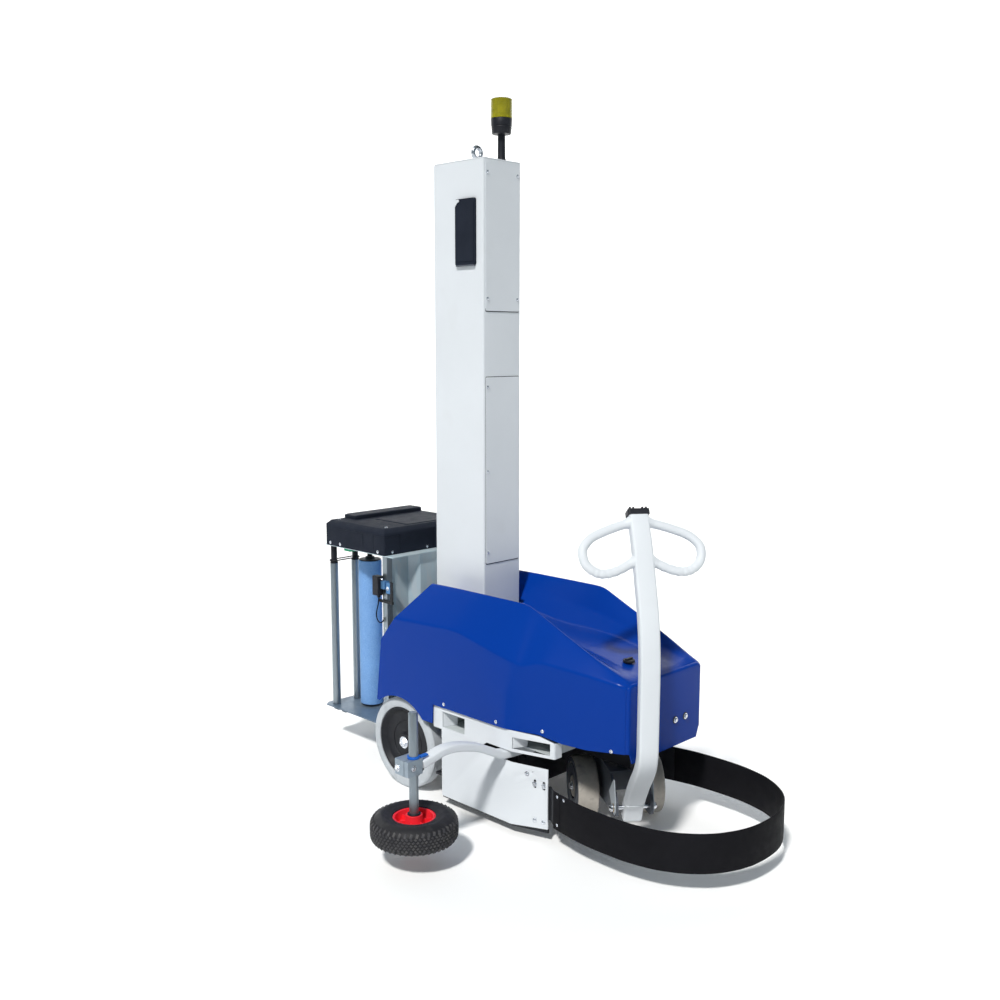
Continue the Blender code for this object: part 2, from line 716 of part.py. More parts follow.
cable = [(-0.3205, -0.1970, 0.6290), (-0.3230, -0.1985, 0.6050), (-0.3290, -0.2010, 0.5800),
         (-0.3300, -0.2020, 0.5600), (-0.3240, -0.2000, 0.5430), (-0.3140, -0.1960, 0.5360),
         (-0.3050, -0.1920, 0.5420), (-0.3000, -0.1895, 0.5560)]
mesh_node("photocell_cable", sweep(cable, round_section(0.0022, 8), side=(0, 1, 0)), "black_rubber")


def carriage_roller(name, centre, radius, colour):
    low = CAR_BASE_Z + GAP
    high = CAR_TOP_Z - GAP - low
    mesh_node(
        name,
        lathe(
            (centre[0], centre[1], low), (0, 0, 1),
            [(0, 0), (0, 0.010), (0.008, 0.010), (0.008, radius), (high - 0.060, radius),
             (high - 0.060, 0.010), (high, 0.010), (high, 0)],
            28,
        ),
        colour,
        origin=(centre[0], centre[1], low),
    )


carriage_roller("prestretch_roller_front", ROLLER_A, ROLLER_R, "blue_rubber")
carriage_roller("prestretch_roller_rear", ROLLER_B, ROLLER_R, "blue_rubber")
mesh_node(
    "film_mandrel",
    lathe(
        (MANDREL[0], MANDREL[1], CAR_BASE_Z + GAP), (0, 0, 1),
        [(0, 0), (0, 0.062), (0.010, 0.062), (0.010, 0.0365), (0.140, 0.0365), (0.160, 0.012),
         (0.6385, 0.012), (0.6385, 0)],
        28,
    ),
    "black_plastic",
    origin=(MANDREL[0], MANDREL[1], CAR_BASE_Z),
)
for name, centre in (("guide_tube_outer", TUBE_A), ("guide_tube_inner", TUBE_B)):
    low = CAR_BASE_Z + GAP
    mesh_node(
        name,
        lathe(
            (centre[0], centre[1], low), (0, 0, 1),
            [(0, 0), (0, 0.0155), (0.566, 0.0155), (0.566, 0.012), (0.6385, 0.012), (0.6385, 0)],
            20,
        ),
        "zinc",
        origin=(centre[0], centre[1], low),
    )
loop = []
for centre, start in ((TUBE_B, 0), (TUBE_A, 180)):
    for step in range(9):
        angle = math.radians(start + 22.5 * step)
        loop.append((centre[0] + 0.0158 * math.cos(angle), centre[1] + 0.0158 * math.sin(angle), BELT_Z))
mesh_node("guide_tube_belt", sweep(loop, round_section(0.0024, 8), closed=True), "belt")

# Wheels ---------------------------------------------------------------------------------------
for side_name, sign in (("right", -1), ("left", 1)):
    inner = sign * (REAR_OUT_Y - REAR_WIDTH)
    centre = (REAR_WHEEL[0], inner, REAR_WHEEL[1])
    pivot = (REAR_WHEEL[0], sign * (REAR_OUT_Y - REAR_WIDTH / 2), REAR_WHEEL[1])
    mesh_node(
        f"rear_tyre_{side_name}",
        lathe(
            centre, (0, sign, 0),
            [(0, 0.1275), (0, 0.155), (0.006, REAR_RADIUS), (REAR_WIDTH - 0.006, REAR_RADIUS),
             (REAR_WIDTH, 0.155), (REAR_WIDTH, 0.1275)],
            48,
        ),
        "grey_tyre",
        origin=pivot,
    )
    mesh_node(
        f"rear_hub_{side_name}",
        lathe(
            centre, (0, sign, 0),
            [(0.004, AXLE_R + GAP), (0.004, 0.1270), (0.049, 0.1270), (0.049, 0.114), (0.036, 0.106),
             (0.036, 0.034), (0.050, 0.030), (0.050, AXLE_R + GAP)],
            40,
        ),
        "black_plastic",
        origin=pivot,
    )

# Steering -------------------------------------------------------------------------------------
fork = mesh_node(
    "steer_fork",
    prism([(-0.150, -0.062), (0.060, -0.062), (0.060, 0.062), (-0.150, 0.062)], 0.2035, 0.2115, steer_point),
    "grey_steel",
    origin=(STEER_X, 0.0, 0.2075),
)
cheek = [(-0.150, 0.206), (0.058, 0.206), (0.140, 0.140), (0.142, 0.100), (0.120, 0.088),
         (-0.090, 0.078), (-0.132, 0.080), (-0.150, 0.110)]
join(
    fork,
    cylinder((STEER_X, 0, 0.206), (STEER_X, 0, 0.276), 0.020, 24),
    prism(cheek, 0.052, 0.060, steer_side),
    prism(cheek, -0.060, -0.052, steer_side),
    prism([(-0.062, -0.056), (-0.054, -0.056), (-0.054, 0.056), (-0.062, 0.056)], 0.100, 0.206, steer_point),
)
cut(
    fork,
    cylinder(
        steer_point(-FRONT_TRAIL, -0.1, FRONT_RADIUS), steer_point(-FRONT_TRAIL, 0.1, FRONT_RADIUS),
        0.0104, 16,
    ),
    cylinder(steer_point(PIN_U, -0.1, PIN_Z), steer_point(PIN_U, 0.1, PIN_Z), 0.0074, 16),
)
mesh_node(
    "front_axle",
    cylinder(
        steer_point(-FRONT_TRAIL, -0.155, FRONT_RADIUS), steer_point(-FRONT_TRAIL, 0.155, FRONT_RADIUS),
        0.010, 16,
    ),
    "steel",
)
for side_name, sign in (("right", -1), ("left", 1)):
    mid = sign * FRONT_HALF_TRACK
    start = steer_point(-FRONT_TRAIL, mid - FRONT_WIDTH / 2, FRONT_RADIUS)
    axis = np.array(steer_point(0, 1, 0)) - np.array(steer_point(0, 0, 0))
    mesh_node(
        f"front_wheel_{side_name}",
        lathe(
            start, axis,
            [(0, 0.0104), (0, 0.034), (0.010, 0.040), (0.010, 0.074), (0, 0.080), (0, 0.096),
             (0.004, FRONT_RADIUS), (FRONT_WIDTH - 0.004, FRONT_RADIUS), (FRONT_WIDTH, 0.096),
             (FRONT_WIDTH, 0.080), (FRONT_WIDTH - 0.010, 0.074), (FRONT_WIDTH - 0.010, 0.040),
             (FRONT_WIDTH, 0.034), (FRONT_WIDTH, 0.0104)],
            36,
        ),
        "grey_tread",
        origin=steer_point(-FRONT_TRAIL, mid, FRONT_RADIUS),
    )
pin = mesh_node(
    "tiller_pin",
    cylinder(steer_point(PIN_U, -0.068, PIN_Z), steer_point(PIN_U, 0.068, PIN_Z), 0.007, 16),
    "steel",
)
join(
    pin,
    lathe(
        steer_point(PIN_U, 0.0605, PIN_Z), np.array(steer_point(0, 1, 0)) - np.array(steer_point(0, 0, 0)),
        [(0, 0), (0, 0.011), (0.008, 0.011), (0.014, 0.007), (0.016, 0)], 12,
    ),
    lathe(
        steer_point(PIN_U, -0.0605, PIN_Z), np.array(steer_point(0, 0, 0)) - np.array(steer_point(0, 1, 0)),
        [(0, 0), (0, 0.011), (0.008, 0.011), (0.014, 0.007), (0.016, 0)], 12,
    ),
)
POST_LINE = [
    (0.100, 0.075), (0.115, 0.115), (0.150, 0.170), (0.190, 0.222), (0.2365, 0.275), (0.2640, 0.328),
    (0.2670, 0.400), (0.2685, 0.500), (0.2690, 0.590), (0.2625, 0.680), (0.2455, 0.755), (0.2265, 0.805),
    (0.1985, POST_SPLIT_Z), (0.1662, 0.945), (0.1140, 1.035),
]
LEFT = np.array(steer_point(0, 1, 0)) - np.array(steer_point(0, 0, 0))
split = [p[1] for p in POST_LINE].index(POST_SPLIT_Z)
tilt_origin = steer_point(PIN_U, 0, PIN_Z)
lower = [steer_point(u, 0, z) for u, z in POST_LINE[: split + 1]]
direction = np.array(POST_LINE[split + 1]) - np.array(POST_LINE[split])
direction /= np.linalg.norm(direction)
begin = np.array(POST_LINE[split]) + direction * 0.0006
upper = [steer_point(u, 0, z) for u, z in [tuple(begin)] + POST_LINE[split + 1:]]
tiller = mesh_node(
    "tiller_post",
    sweep(lower, eased_section(POST_D, POST_W, 0.007), side=tuple(LEFT)),
    "white_paint",
    origin=tilt_origin,
)
cut(
    tiller,
    cylinder(steer_point(PIN_U, -0.1, PIN_Z), steer_point(PIN_U, 0.1, PIN_Z), 0.0074, 16),
)
handle = mesh_node(
    "tiller_handle",
    sweep(upper, eased_section(POST_D, POST_W, 0.007), side=tuple(LEFT)),
    "white_paint",
    origin=tilt_origin,
)
LOOP = [(0.010, 1.018), (0.050, 1.012), (0.108, 0.995), (0.150, 0.978), (0.176, 0.955), (0.182, 0.932),
        (0.174, 0.905), (0.150, 0.885), (0.120, 0.878), (0.080, 0.886), (0.034, 0.906), (0.010, 0.912)]


def post_u(z):
    """How far forward the post's centre line is at this height."""
    heights = [p[1] for p in POST_LINE]
    return float(np.interp(z, heights, [p[0] for p in POST_LINE]))


def grip_point(across, z):
    return np.array(steer_point(post_u(min(z, 1.020)), across, z))


FORWARD = np.array(steer_point(1, 0, 0)) - np.array(steer_point(0, 0, 0))
slope = np.array(steer_point(post_u(0.90) - post_u(1.00), 0, 0)) - np.array(steer_point(0, 0, 0))
normal = FORWARD * 0.10 + np.array((0, 0, 1.0)) * (post_u(0.90) - post_u(1.00))
normal /= np.linalg.norm(normal)
for sign in (-1, 1):
    loop_path = [grip_point(sign * across, z) for across, z in LOOP]
    join(handle, sweep(loop_path, round_section(0.0135, 12), side=tuple(normal)))
top_u, top_z = POST_LINE[-1]
tip = np.array(POST_LINE[-1]) - np.array(POST_LINE[-2])
tip /= np.linalg.norm(tip)
a0 = np.array(POST_LINE[-1]) + tip * 0.0006
a1 = a0 + tip * 0.024
cap = mesh_node(
    "tiller_cap",
    sweep(
        [steer_point(a0[0], 0, a0[1]), steer_point(a1[0], 0, a1[1])],
        eased_section(POST_D - 0.002, POST_W - 0.004, 0.006), side=tuple(LEFT),
    ),
    "black_plastic",
    origin=tilt_origin,
)
b0 = a0 + tip * 0.014
b1 = a0 + tip * 0.040
for across in (-0.017, 0.0, 0.017):
    cut(
        cap,
        sweep(
            [steer_point(b0[0], across, b0[1]), steer_point(b1[0], across, b1[1])],
            flat_section(0.080, 0.006), side=tuple(LEFT),
        ),
    )

# Feeler ---------------------------------------------------------------------------------------
ARM = [(-0.180, 0.2585), (-0.300, 0.2600), (-0.345, 0.2760), (-0.410, 0.3070), (-0.480, 0.3260),
       (-0.535, 0.3290), (-0.585, 0.3170), (-0.6215, 0.3078)]


def arm_x(y):
    span = FEELER[1] - FEELER_PIVOT[1]
    return FEELER_PIVOT[0] + (FEELER[0] - FEELER_PIVOT[0]) * (y - FEELER_PIVOT[1]) / span


arm_pivot = (FEELER_PIVOT[0], FEELER_PIVOT[1], 0.2585)
arm = mesh_node(
    "feeler_arm",
    sweep([(arm_x(y), y, z) for y, z in ARM], eased_section(0.026, 0.040, 0.005), side=(1, 0, 0)),
    "white_paint",
    origin=arm_pivot,
)
join(arm, cylinder((*FEELER_PIVOT, 0.2450), (*FEELER_PIVOT, 0.2720), 0.026, 20))
cut(arm, cylinder((*FEELER_PIVOT, 0.2000), (*FEELER_PIVOT, 0.3000), 0.0085, 16))
fx, fy = FEELER
clamp = mesh_node("feeler_clamp", box(0.344, 0.4035, -0.6840, -0.6265, 0.2820, 0.3300), "zinc")
cut(clamp, cylinder((fx, fy, 0.20), (fx, fy, 0.40), FEELER_TUBE_R + 0.0005, 24))
mesh_node(
    "feeler_tube",
    lathe(
        (fx, fy, 0.070), (0, 0, 1),
        [(0, 0), (0, 0.008), (0.0800, 0.008), (0.0800, FEELER_TUBE_R), (0.3990, FEELER_TUBE_R),
         (0.4020, 0.010), (0.4020, 0)],
        24,
    ),
    "zinc",
    origin=(fx, fy, 0.150),
)
hub_bottom = FEELER_Z - FEELER_WIDTH / 2
hub = mesh_node(
    "feeler_hub",
    lathe(
        (fx, fy, hub_bottom + 0.004), (0, 0, 1),
        [(0, 0.0085), (0, 0.026), (0.030, 0.026), (0.036, 0.052), (0.006, 0.0570), (0.006, 0.0650),
         (0.073, 0.0650), (0.073, 0.0570), (0.048, 0.052), (0.048, 0.030), (0.0800, 0.0250),
         (0.0800, 0.0085)],
        32,
    ),
    "red_plastic",
    origin=(fx, fy, FEELER_Z),
)
for k in range(6):
    angle = math.radians(30 + 60 * k)
    cx = fx + 0.040 * math.cos(angle)
    cy = fy + 0.040 * math.sin(angle)
    cut(hub, cylinder((cx, cy, 0.05), (cx, cy, 0.18), 0.0065, 10))
mesh_node(
    "feeler_tyre",
    lathe(
        (fx, fy, hub_bottom), (0, 0, 1),
        [(0.006, 0.0656), (0.004, 0.080), (0, 0.095), (0.003, 0.113), (0.014, 0.1285),
         (0.030, FEELER_RADIUS), (0.055, FEELER_RADIUS), (0.071, 0.1285), (0.082, 0.113),
         (0.085, 0.095), (0.081, 0.080), (0.079, 0.0656)],
        40,
    ),
    "black_rubber",
    origin=(fx, fy, FEELER_Z),
)
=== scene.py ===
"""Looks of the mobile pallet wrapping robot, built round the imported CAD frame. Metres, +Z up, +X to the tiller."""
import json
import math

import bmesh
import bpy
import numpy as np
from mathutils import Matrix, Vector

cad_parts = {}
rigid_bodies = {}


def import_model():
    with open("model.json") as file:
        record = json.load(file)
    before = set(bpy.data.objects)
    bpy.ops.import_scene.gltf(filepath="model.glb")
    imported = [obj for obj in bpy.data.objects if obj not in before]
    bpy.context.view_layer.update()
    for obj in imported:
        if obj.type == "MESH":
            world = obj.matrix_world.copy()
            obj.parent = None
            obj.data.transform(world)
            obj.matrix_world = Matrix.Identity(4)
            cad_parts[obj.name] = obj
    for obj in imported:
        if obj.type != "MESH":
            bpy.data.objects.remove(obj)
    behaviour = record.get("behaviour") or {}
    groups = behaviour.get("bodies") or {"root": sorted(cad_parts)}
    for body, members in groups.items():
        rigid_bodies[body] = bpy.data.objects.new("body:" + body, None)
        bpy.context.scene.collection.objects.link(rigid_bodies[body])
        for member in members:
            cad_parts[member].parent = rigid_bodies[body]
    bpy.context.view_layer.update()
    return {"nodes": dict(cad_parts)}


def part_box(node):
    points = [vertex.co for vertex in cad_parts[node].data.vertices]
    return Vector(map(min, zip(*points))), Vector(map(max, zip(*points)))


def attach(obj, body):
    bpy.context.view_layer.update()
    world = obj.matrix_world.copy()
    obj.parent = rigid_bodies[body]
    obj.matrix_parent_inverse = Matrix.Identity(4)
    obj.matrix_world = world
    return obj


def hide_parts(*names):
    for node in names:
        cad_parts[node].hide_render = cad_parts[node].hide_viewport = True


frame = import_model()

NODES = frame["nodes"]
scene = bpy.context.scene
for start_object in [o for o in bpy.data.objects if o.name in ("Cube", "Light", "Camera")]:
    bpy.data.objects.remove(start_object, do_unlink=True)


def span(node):
    low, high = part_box(node)
    return np.array(low, float), np.array(high, float)


mast_low, mast_high = span("mast_column")
SHIFT = np.array(((mast_low[0] + mast_high[0]) / 2, (mast_low[1] + mast_high[1]) / 2, 0.0))
MAST_X = (mast_high[0] - mast_low[0]) / 2
MAST_Y = (mast_high[1] - mast_low[1]) / 2
MAST_FOOT_Z, MAST_TOP_Z = mast_low[2], mast_high[2]


def local(node):
    """A node's corners measured from the mast axis."""
    low, high = span(node)
    return low - SHIFT, high - SHIFT


def axis_of(node):
    """The middle of a node's box in plan."""
    low, high = local(node)
    return (low[0] + high[0]) / 2, (low[1] + high[1]) / 2


# Finishes ---------------------------------------------------------------------------------------
def finish(name, colour, roughness, metallic=0.0, tint=0.08, patch=6.0, grain=500.0, depth=0.12,
           spread=0.06, stretch=(1, 1, 1), coat=0.0, specular=0.22, flecks=None, cells=False, **sockets):
    """Principled material with patchy colour, patchy roughness and a fine grain.

    Flecks are (colour, scale, start, full, share); they fade in as the noise goes from start to full.
    """
    made = bpy.data.materials.new(name)
    made.use_nodes = True
    tree = made.node_tree
    shader = tree.nodes["Principled BSDF"]

    def node(kind, **values):
        new = tree.nodes.new(kind)
        for key, value in values.items():
            new.inputs[key].default_value = value
        return new

    place = tree.nodes.new("ShaderNodeTexCoord")
    scaled = node("ShaderNodeMapping", Scale=stretch)
    tree.links.new(place.outputs["Object"], scaled.inputs["Vector"])

    def noise(scale, detail):
        new = node("ShaderNodeTexNoise", Scale=scale, Detail=detail, Roughness=0.6)
        tree.links.new(scaled.outputs[0], new.inputs["Vector"])
        return new.outputs["Fac"]

    def spread_of(value, low, high, a, b):
        new = tree.nodes.new("ShaderNodeMapRange")
        for key, number in (("From Min", low), ("From Max", high), ("To Min", a), ("To Max", b)):
            new.inputs[key].default_value = number
        tree.links.new(value, new.inputs["Value"])
        return new.outputs[0]

    def mixed(share, a, b):
        new = tree.nodes.new("ShaderNodeMix")
        new.data_type = "RGBA"
        tree.links.new(share, new.inputs[0])
        for socket, value in ((new.inputs[6], a), (new.inputs[7], b)):
            if isinstance(value, tuple):
                socket.default_value = (*value, 1.0)
            else:
                tree.links.new(value, socket)
        return new.outputs[2]

    dark = tuple(c * (1 - tint) for c in colour)
    light = tuple(min(1.0, c * (1 + tint)) for c in colour)
    base = mixed(spread_of(noise(patch, 5.0), 0.32, 0.68, 0.0, 1.0), dark, light)
    if flecks is not None:
        fleck, fleck_scale, start, full, share = flecks
        if cells:
            spots = node("ShaderNodeTexVoronoi", Scale=fleck_scale)
            tree.links.new(scaled.outputs[0], spots.inputs["Vector"])
            value = spots.outputs["Color"]
        else:
            value = noise(fleck_scale, 2.0)
        base = mixed(spread_of(value, start, full, 0.0, share), base, fleck)
    tree.links.new(base, shader.inputs["Base Color"])
    tree.links.new(
        spread_of(noise(patch * 3.5, 4.0), 0.3, 0.7, roughness - spread, roughness + spread),
        shader.inputs["Roughness"],
    )
    bump = node("ShaderNodeBump", Strength=depth, Distance=0.001)
    tree.links.new(noise(grain, 3.0), bump.inputs["Height"])
    tree.links.new(bump.outputs[0], shader.inputs["Normal"])
    shader.inputs["Metallic"].default_value = metallic
    shader.inputs["Specular IOR Level"].default_value = specular
    shader.inputs["Coat Weight"].default_value = coat
    shader.inputs["Coat Roughness"].default_value = 0.12
    for key, value in sockets.items():
        shader.inputs[key.replace("_", " ")].default_value = value
    made.diffuse_color = (*colour, 1.0)
    return made


WHITE = finish("white_powder_coat", (0.665, 0.695, 0.73), 0.42, tint=0.02, patch=2.5, grain=900, depth=0.05,
               flecks=((0.6, 0.62, 0.64), 9, 0.62, 0.8, 0.25))
BLUE = finish("blue_gloss_paint", (0.0012, 0.035, 0.27), 0.23, tint=0.015, patch=2.0, grain=700, depth=0.03,
              spread=0.012, specular=0.09)
BLACK_SHEET = finish("black_sheet", (0.013, 0.014, 0.018), 0.5, tint=0.25, patch=12, grain=800, depth=0.15)
DARK_PLASTIC = finish("moulded_plastic", (0.014, 0.018, 0.029), 0.6, tint=0.12, patch=8, grain=1500, depth=0.35,
                      specular=0.08)
TRIM = finish("fine_black_plastic", (0.014, 0.015, 0.02), 0.42, tint=0.2, patch=20, grain=1800, depth=0.25)
RUBBER = finish("black_rubber", (0.007, 0.007, 0.009), 0.66, tint=0.12, patch=10, grain=600, depth=0.3,
                flecks=((0.013, 0.013, 0.015), 26, 0.55, 0.78, 0.25), specular=0.08)
TREAD = finish("dusty_tread", (0.05, 0.05, 0.056), 0.8, tint=0.2, patch=30, grain=900, depth=0.5,
               flecks=((0.115, 0.11, 0.106), 60, 0.45, 0.7, 0.6))
SIDEWALL = finish("smooth_tyre_wall", (0.018, 0.018, 0.021), 0.58, tint=0.15, patch=16, grain=900, depth=0.2,
                  flecks=((0.055, 0.054, 0.054), 30, 0.52, 0.75, 0.4))
GREY_TYRE = finish("grey_polyurethane", (0.46, 0.49, 0.52), 0.55, tint=0.05, patch=9, grain=500, depth=0.2,
                   flecks=((0.24, 0.25, 0.27), 22, 0.55, 0.8, 0.5))
WORN_TREAD = finish("worn_wheel_tread", (0.42, 0.39, 0.35), 0.65, tint=0.14, patch=20, grain=400, depth=0.35,
                    flecks=((0.2, 0.19, 0.18), 35, 0.55, 0.75, 0.6))
ZINC = finish("zinc_plate", (0.58, 0.72, 0.79), 0.4, metallic=0.35, tint=0.07, patch=5, grain=300, depth=0.06,
              stretch=(1, 1, 0.25), flecks=((0.7, 0.75, 0.78), 60, 0.35, 0.9, 0.5), cells=True)
TUBE = finish("galvanised_tube", (0.29, 0.335, 0.375), 0.36, metallic=0.9, tint=0.12, patch=9, grain=400, depth=0.1,
              stretch=(1, 1, 0.12), flecks=((0.3, 0.31, 0.31), 120, 0.5, 0.8, 0.5))
BOLT = finish("bright_zinc_bolt", (0.72, 0.75, 0.8), 0.24, metallic=1.0, tint=0.1, patch=60, grain=900, depth=0.1)
STEEL = finish("ground_steel", (0.55, 0.56, 0.58), 0.3, metallic=1.0, tint=0.08, patch=12, grain=800, depth=0.08,
               stretch=(1, 1, 0.3))
GREY_STEEL = finish("grey_painted_steel", (0.085, 0.095, 0.115), 0.48, tint=0.12, patch=8, grain=800, depth=0.12,
                    flecks=((0.16, 0.165, 0.17), 30, 0.6, 0.8, 0.5))
# A darker copy of the zinc plate finish: painted shade for the carriage base plate, which is the same zinc as the back
# plate.
ZINC_SHADED = finish("shaded_zinc_plate", (0.13, 0.18, 0.24), 0.4, metallic=0.45, tint=0.1, patch=6, grain=300, depth=0.08,
                   flecks=((0.17, 0.22, 0.28), 60, 0.35, 0.9, 0.5), cells=True)
LIGHT_STEEL = finish("light_bracket_paint", (0.42, 0.46, 0.5), 0.42, tint=0.06, patch=10, grain=800, depth=0.1)
RED = finish("red_moulded_hub", (0.78, 0.022, 0.035), 0.36, tint=0.1, patch=18, grain=700, depth=0.12,
             flecks=((0.45, 0.03, 0.03), 50, 0.6, 0.8, 0.4))
AMBER = finish("amber_lens", (0.3, 0.275, 0.008), 0.16, tint=0.18, patch=40, grain=200, depth=0.15, coat=0.5,
               **{"Transmission Weight": 0.25})
ROLLER = finish("speckled_roller", (0.14, 0.3, 0.6), 0.62, tint=0.05, patch=14, grain=900, depth=0.4,
                flecks=((0.24, 0.42, 0.72), 420, 0.46, 0.6, 0.9))
ZINC_MID = finish("worn_zinc_block", (0.3, 0.36, 0.42), 0.38, metallic=0.5, tint=0.08, patch=20, grain=400, depth=0.08)
BLUE_STEEL = finish("blued_clamp_metal", (0.1, 0.24, 0.47), 0.34, metallic=0.45, tint=0.1, patch=40, grain=900)
BLUE_PART = finish("blue_clamp_plastic", (0.01, 0.115, 0.5), 0.38, tint=0.1, patch=40, grain=900, depth=0.15)
YELLOW = finish("yellow_plastic", (0.72, 0.46, 0.01), 0.4, tint=0.06, patch=30, grain=900, depth=0.15)
GREEN = finish("green_plastic", (0.02, 0.36, 0.17), 0.4, tint=0.12, patch=40, grain=900, depth=0.15)
SCREEN = finish("screen_glass", (0.012, 0.02, 0.03), 0.12, tint=0.3, patch=15, grain=60, depth=0.02, coat=0.6)
BRASS = finish("bronze_bush", (0.6, 0.42, 0.2), 0.35, metallic=1.0, tint=0.1, patch=50, grain=700, depth=0.1)
BATTERY = finish("battery_case", (0.05, 0.052, 0.06), 0.5, tint=0.12, patch=12, grain=900, depth=0.3)
BELT = finish("ribbed_belt", (0.02, 0.02, 0.022), 0.7, tint=0.2, patch=60, grain=900, depth=0.5)
POCKET = finish("pocket_sheet", (0.52, 0.56, 0.57), 0.45, tint=0.06, patch=7, grain=800, depth=0.08,
                flecks=((0.32, 0.34, 0.33), 14, 0.5, 0.8, 0.5))
# Near-black: the seats behind the nose bolts, and painted shadow lines under the mast panels.
SEAM_AND_SHADE = finish("dark_seam_and_shade", (0.022, 0.025, 0.03), 0.7, tint=0.2, patch=40, grain=800, depth=0.2)


# Shapes: (vertices, faces) of closed bodies, measured from the mast axis --------------------------
def merged(shapes):
    vertices, faces = [], []
    for points, polygons in shapes:
        start = len(vertices)
        vertices.extend(points)
        faces.extend(tuple(i + start for i in polygon) for polygon in polygons)
    return vertices, faces


def loft(rings, closed=False):
    """Rings of equal point count joined in order; the ends are capped unless the last ring meets the first."""
    size = len(rings[0])
    vertices = [tuple(p) for ring in rings for p in ring]
    faces = []
    count = len(rings)
    for i in range(count if closed else count - 1):
        j = (i + 1) % count
        for k in range(size):
            m = (k + 1) % size
            faces.append((i * size + k, i * size + m, j * size + m, j * size + k))
    if not closed:
        faces.append(tuple(range(size - 1, -1, -1)))
        faces.append(tuple((count - 1) * size + k for k in range(size)))
    return vertices, faces


def rounded(x0, x1, y0, y1, r, steps=4):
    """Outline of a rectangle with rounded corners."""
    points = []
    for cx, cy, start in ((x1 - r, y1 - r, 0), (x0 + r, y1 - r, 90), (x0 + r, y0 + r, 180), (x1 - r, y0 + r, 270)):
        for k in range(steps + 1):
            a = math.radians(start + 90 * k / steps)
            points.append((cx + r * math.cos(a), cy + r * math.sin(a)))
    return points


def plan(a, b, h):
    return (a, b, h)


def side(a, b, h):
    return (a, h, b)


def end(a, b, h):
    return (h, a, b)


def prism(outline, low, high, place=plan):
    return loft([[place(a, b, low) for a, b in outline], [place(a, b, high) for a, b in outline]])


def block(x0, x1, y0, y1, z0, z1):
    return prism([(x0, y0), (x1, y0), (x1, y1), (x0, y1)], z0, z1)


def unit(v):
    v = np.array(v, float)
    return v / np.linalg.norm(v)


def frame_of(direction):
    d = unit(direction)
    seed = np.array((0.0, 0.0, 1.0)) if abs(d[2]) < 0.9 else np.array((1.0, 0.0, 0.0))
    first = unit(np.cross(d, seed))
    return first, np.cross(d, first)


def lathe(centre, direction, profile, sides=48, turn=0.0):
    """A profile of (distance along the axis, radius) turned about the axis."""
    d = unit(direction)
    first, second = frame_of(d)
    centre = np.array(centre, float)
    vertices, rows, faces = [], [], []
    for along, radius in profile:
        if radius < 1e-6:
            rows.append([len(vertices)])
            vertices.append(tuple(centre + d * along))
            continue
        rows.append(list(range(len(vertices), len(vertices) + sides)))
        for k in range(sides):
            a = 2 * math.pi * k / sides + turn
            vertices.append(tuple(centre + d * along + radius * (first * math.cos(a) + second * math.sin(a))))
    pairs = list(zip(rows[:-1], rows[1:]))
    if len(rows[0]) > 1:
        pairs.append((rows[-1], rows[0]))
    for near, far in pairs:
        for k in range(sides):
            m = (k + 1) % sides
            corners = [near[k % len(near)], near[m % len(near)], far[m % len(far)], far[k % len(far)]]
            kept = list(dict.fromkeys(corners))
            if len(kept) > 2:
                faces.append(tuple(kept))
    return vertices, faces


def band(near, far, inner, outer):
    """The profile of a plain ring between two places on its axis."""
    return [(near, inner), (near, outer), (far, outer), (far, inner)]


def rod(a, b, radius, sides=24, chamfer=0.001):
    gap = np.array(b, float) - np.array(a, float)
    length = float(np.linalg.norm(gap))
    return lathe(a, gap, [(0, 0), (0, radius - chamfer), (chamfer, radius), (length - chamfer, radius),
                          (length, radius - chamfer), (length, 0)], sides)


def curve_through(points, steps=6, closed=False):
    """A Catmull-Rom line through the points."""
    p = [np.array(q, float) for q in points]
    count = len(p)
    out = []
    for i in range(count if closed else count - 1):
        p0 = p[i - 1] if i or closed else 2 * p[0] - p[1]
        p1, p2 = p[i], p[(i + 1) % count]
        p3 = p[(i + 2) % count] if i + 2 < count or closed else 2 * p[-1] - p[-2]
        for k in range(steps):
            t = k / steps
            out.append(0.5 * (2 * p1 + (p2 - p0) * t + (2 * p0 - 5 * p1 + 4 * p2 - p3) * t * t
                              + (3 * p1 - p0 - 3 * p2 + p3) * t ** 3))
    if not closed:
        out.append(p[-1])
    return out


def sweep(path, section, side_axis=(0, 0, 1), closed=False, scale=None):
    """A section of (across, along side) offsets carried along a path."""
    points = [np.array(q, float) for q in path]
    count = len(points)
    side_axis = np.array(side_axis, float)
    rings = []
    for i, point in enumerate(points):
        a = points[i - 1] if i or closed else point
        b = points[(i + 1) % count] if i + 1 < count or closed else point
        tangent = unit(b - a)
        across = unit(np.cross(tangent, side_axis))
        up = np.cross(across, tangent)
        s = scale(i / max(1, count - 1)) if scale else 1.0
        rings.append([tuple(point + across * u * s + up * v * s) for u, v in section])
    return loft(rings, closed)


def circle(radius, sides=16):
    return [(radius * math.cos(2 * math.pi * k / sides), radius * math.sin(2 * math.pi * k / sides))
            for k in range(sides)]


def dome(at, axis, r, h=None):
    """A button head with a socket, on a thin washer."""
    h = h or 0.55 * r
    return lathe(at, axis, [(-0.001, 0), (-0.001, 1.35 * r), (0.0012, 1.35 * r), (0.0012, r), (0.0012 + 0.4 * h, r),
                            (0.0012 + 0.8 * h, 0.72 * r), (0.0012 + h, 0.42 * r), (0.0012 + 0.45 * h, 0.38 * r),
                            (0.0012 + 0.45 * h, 0)], 24)


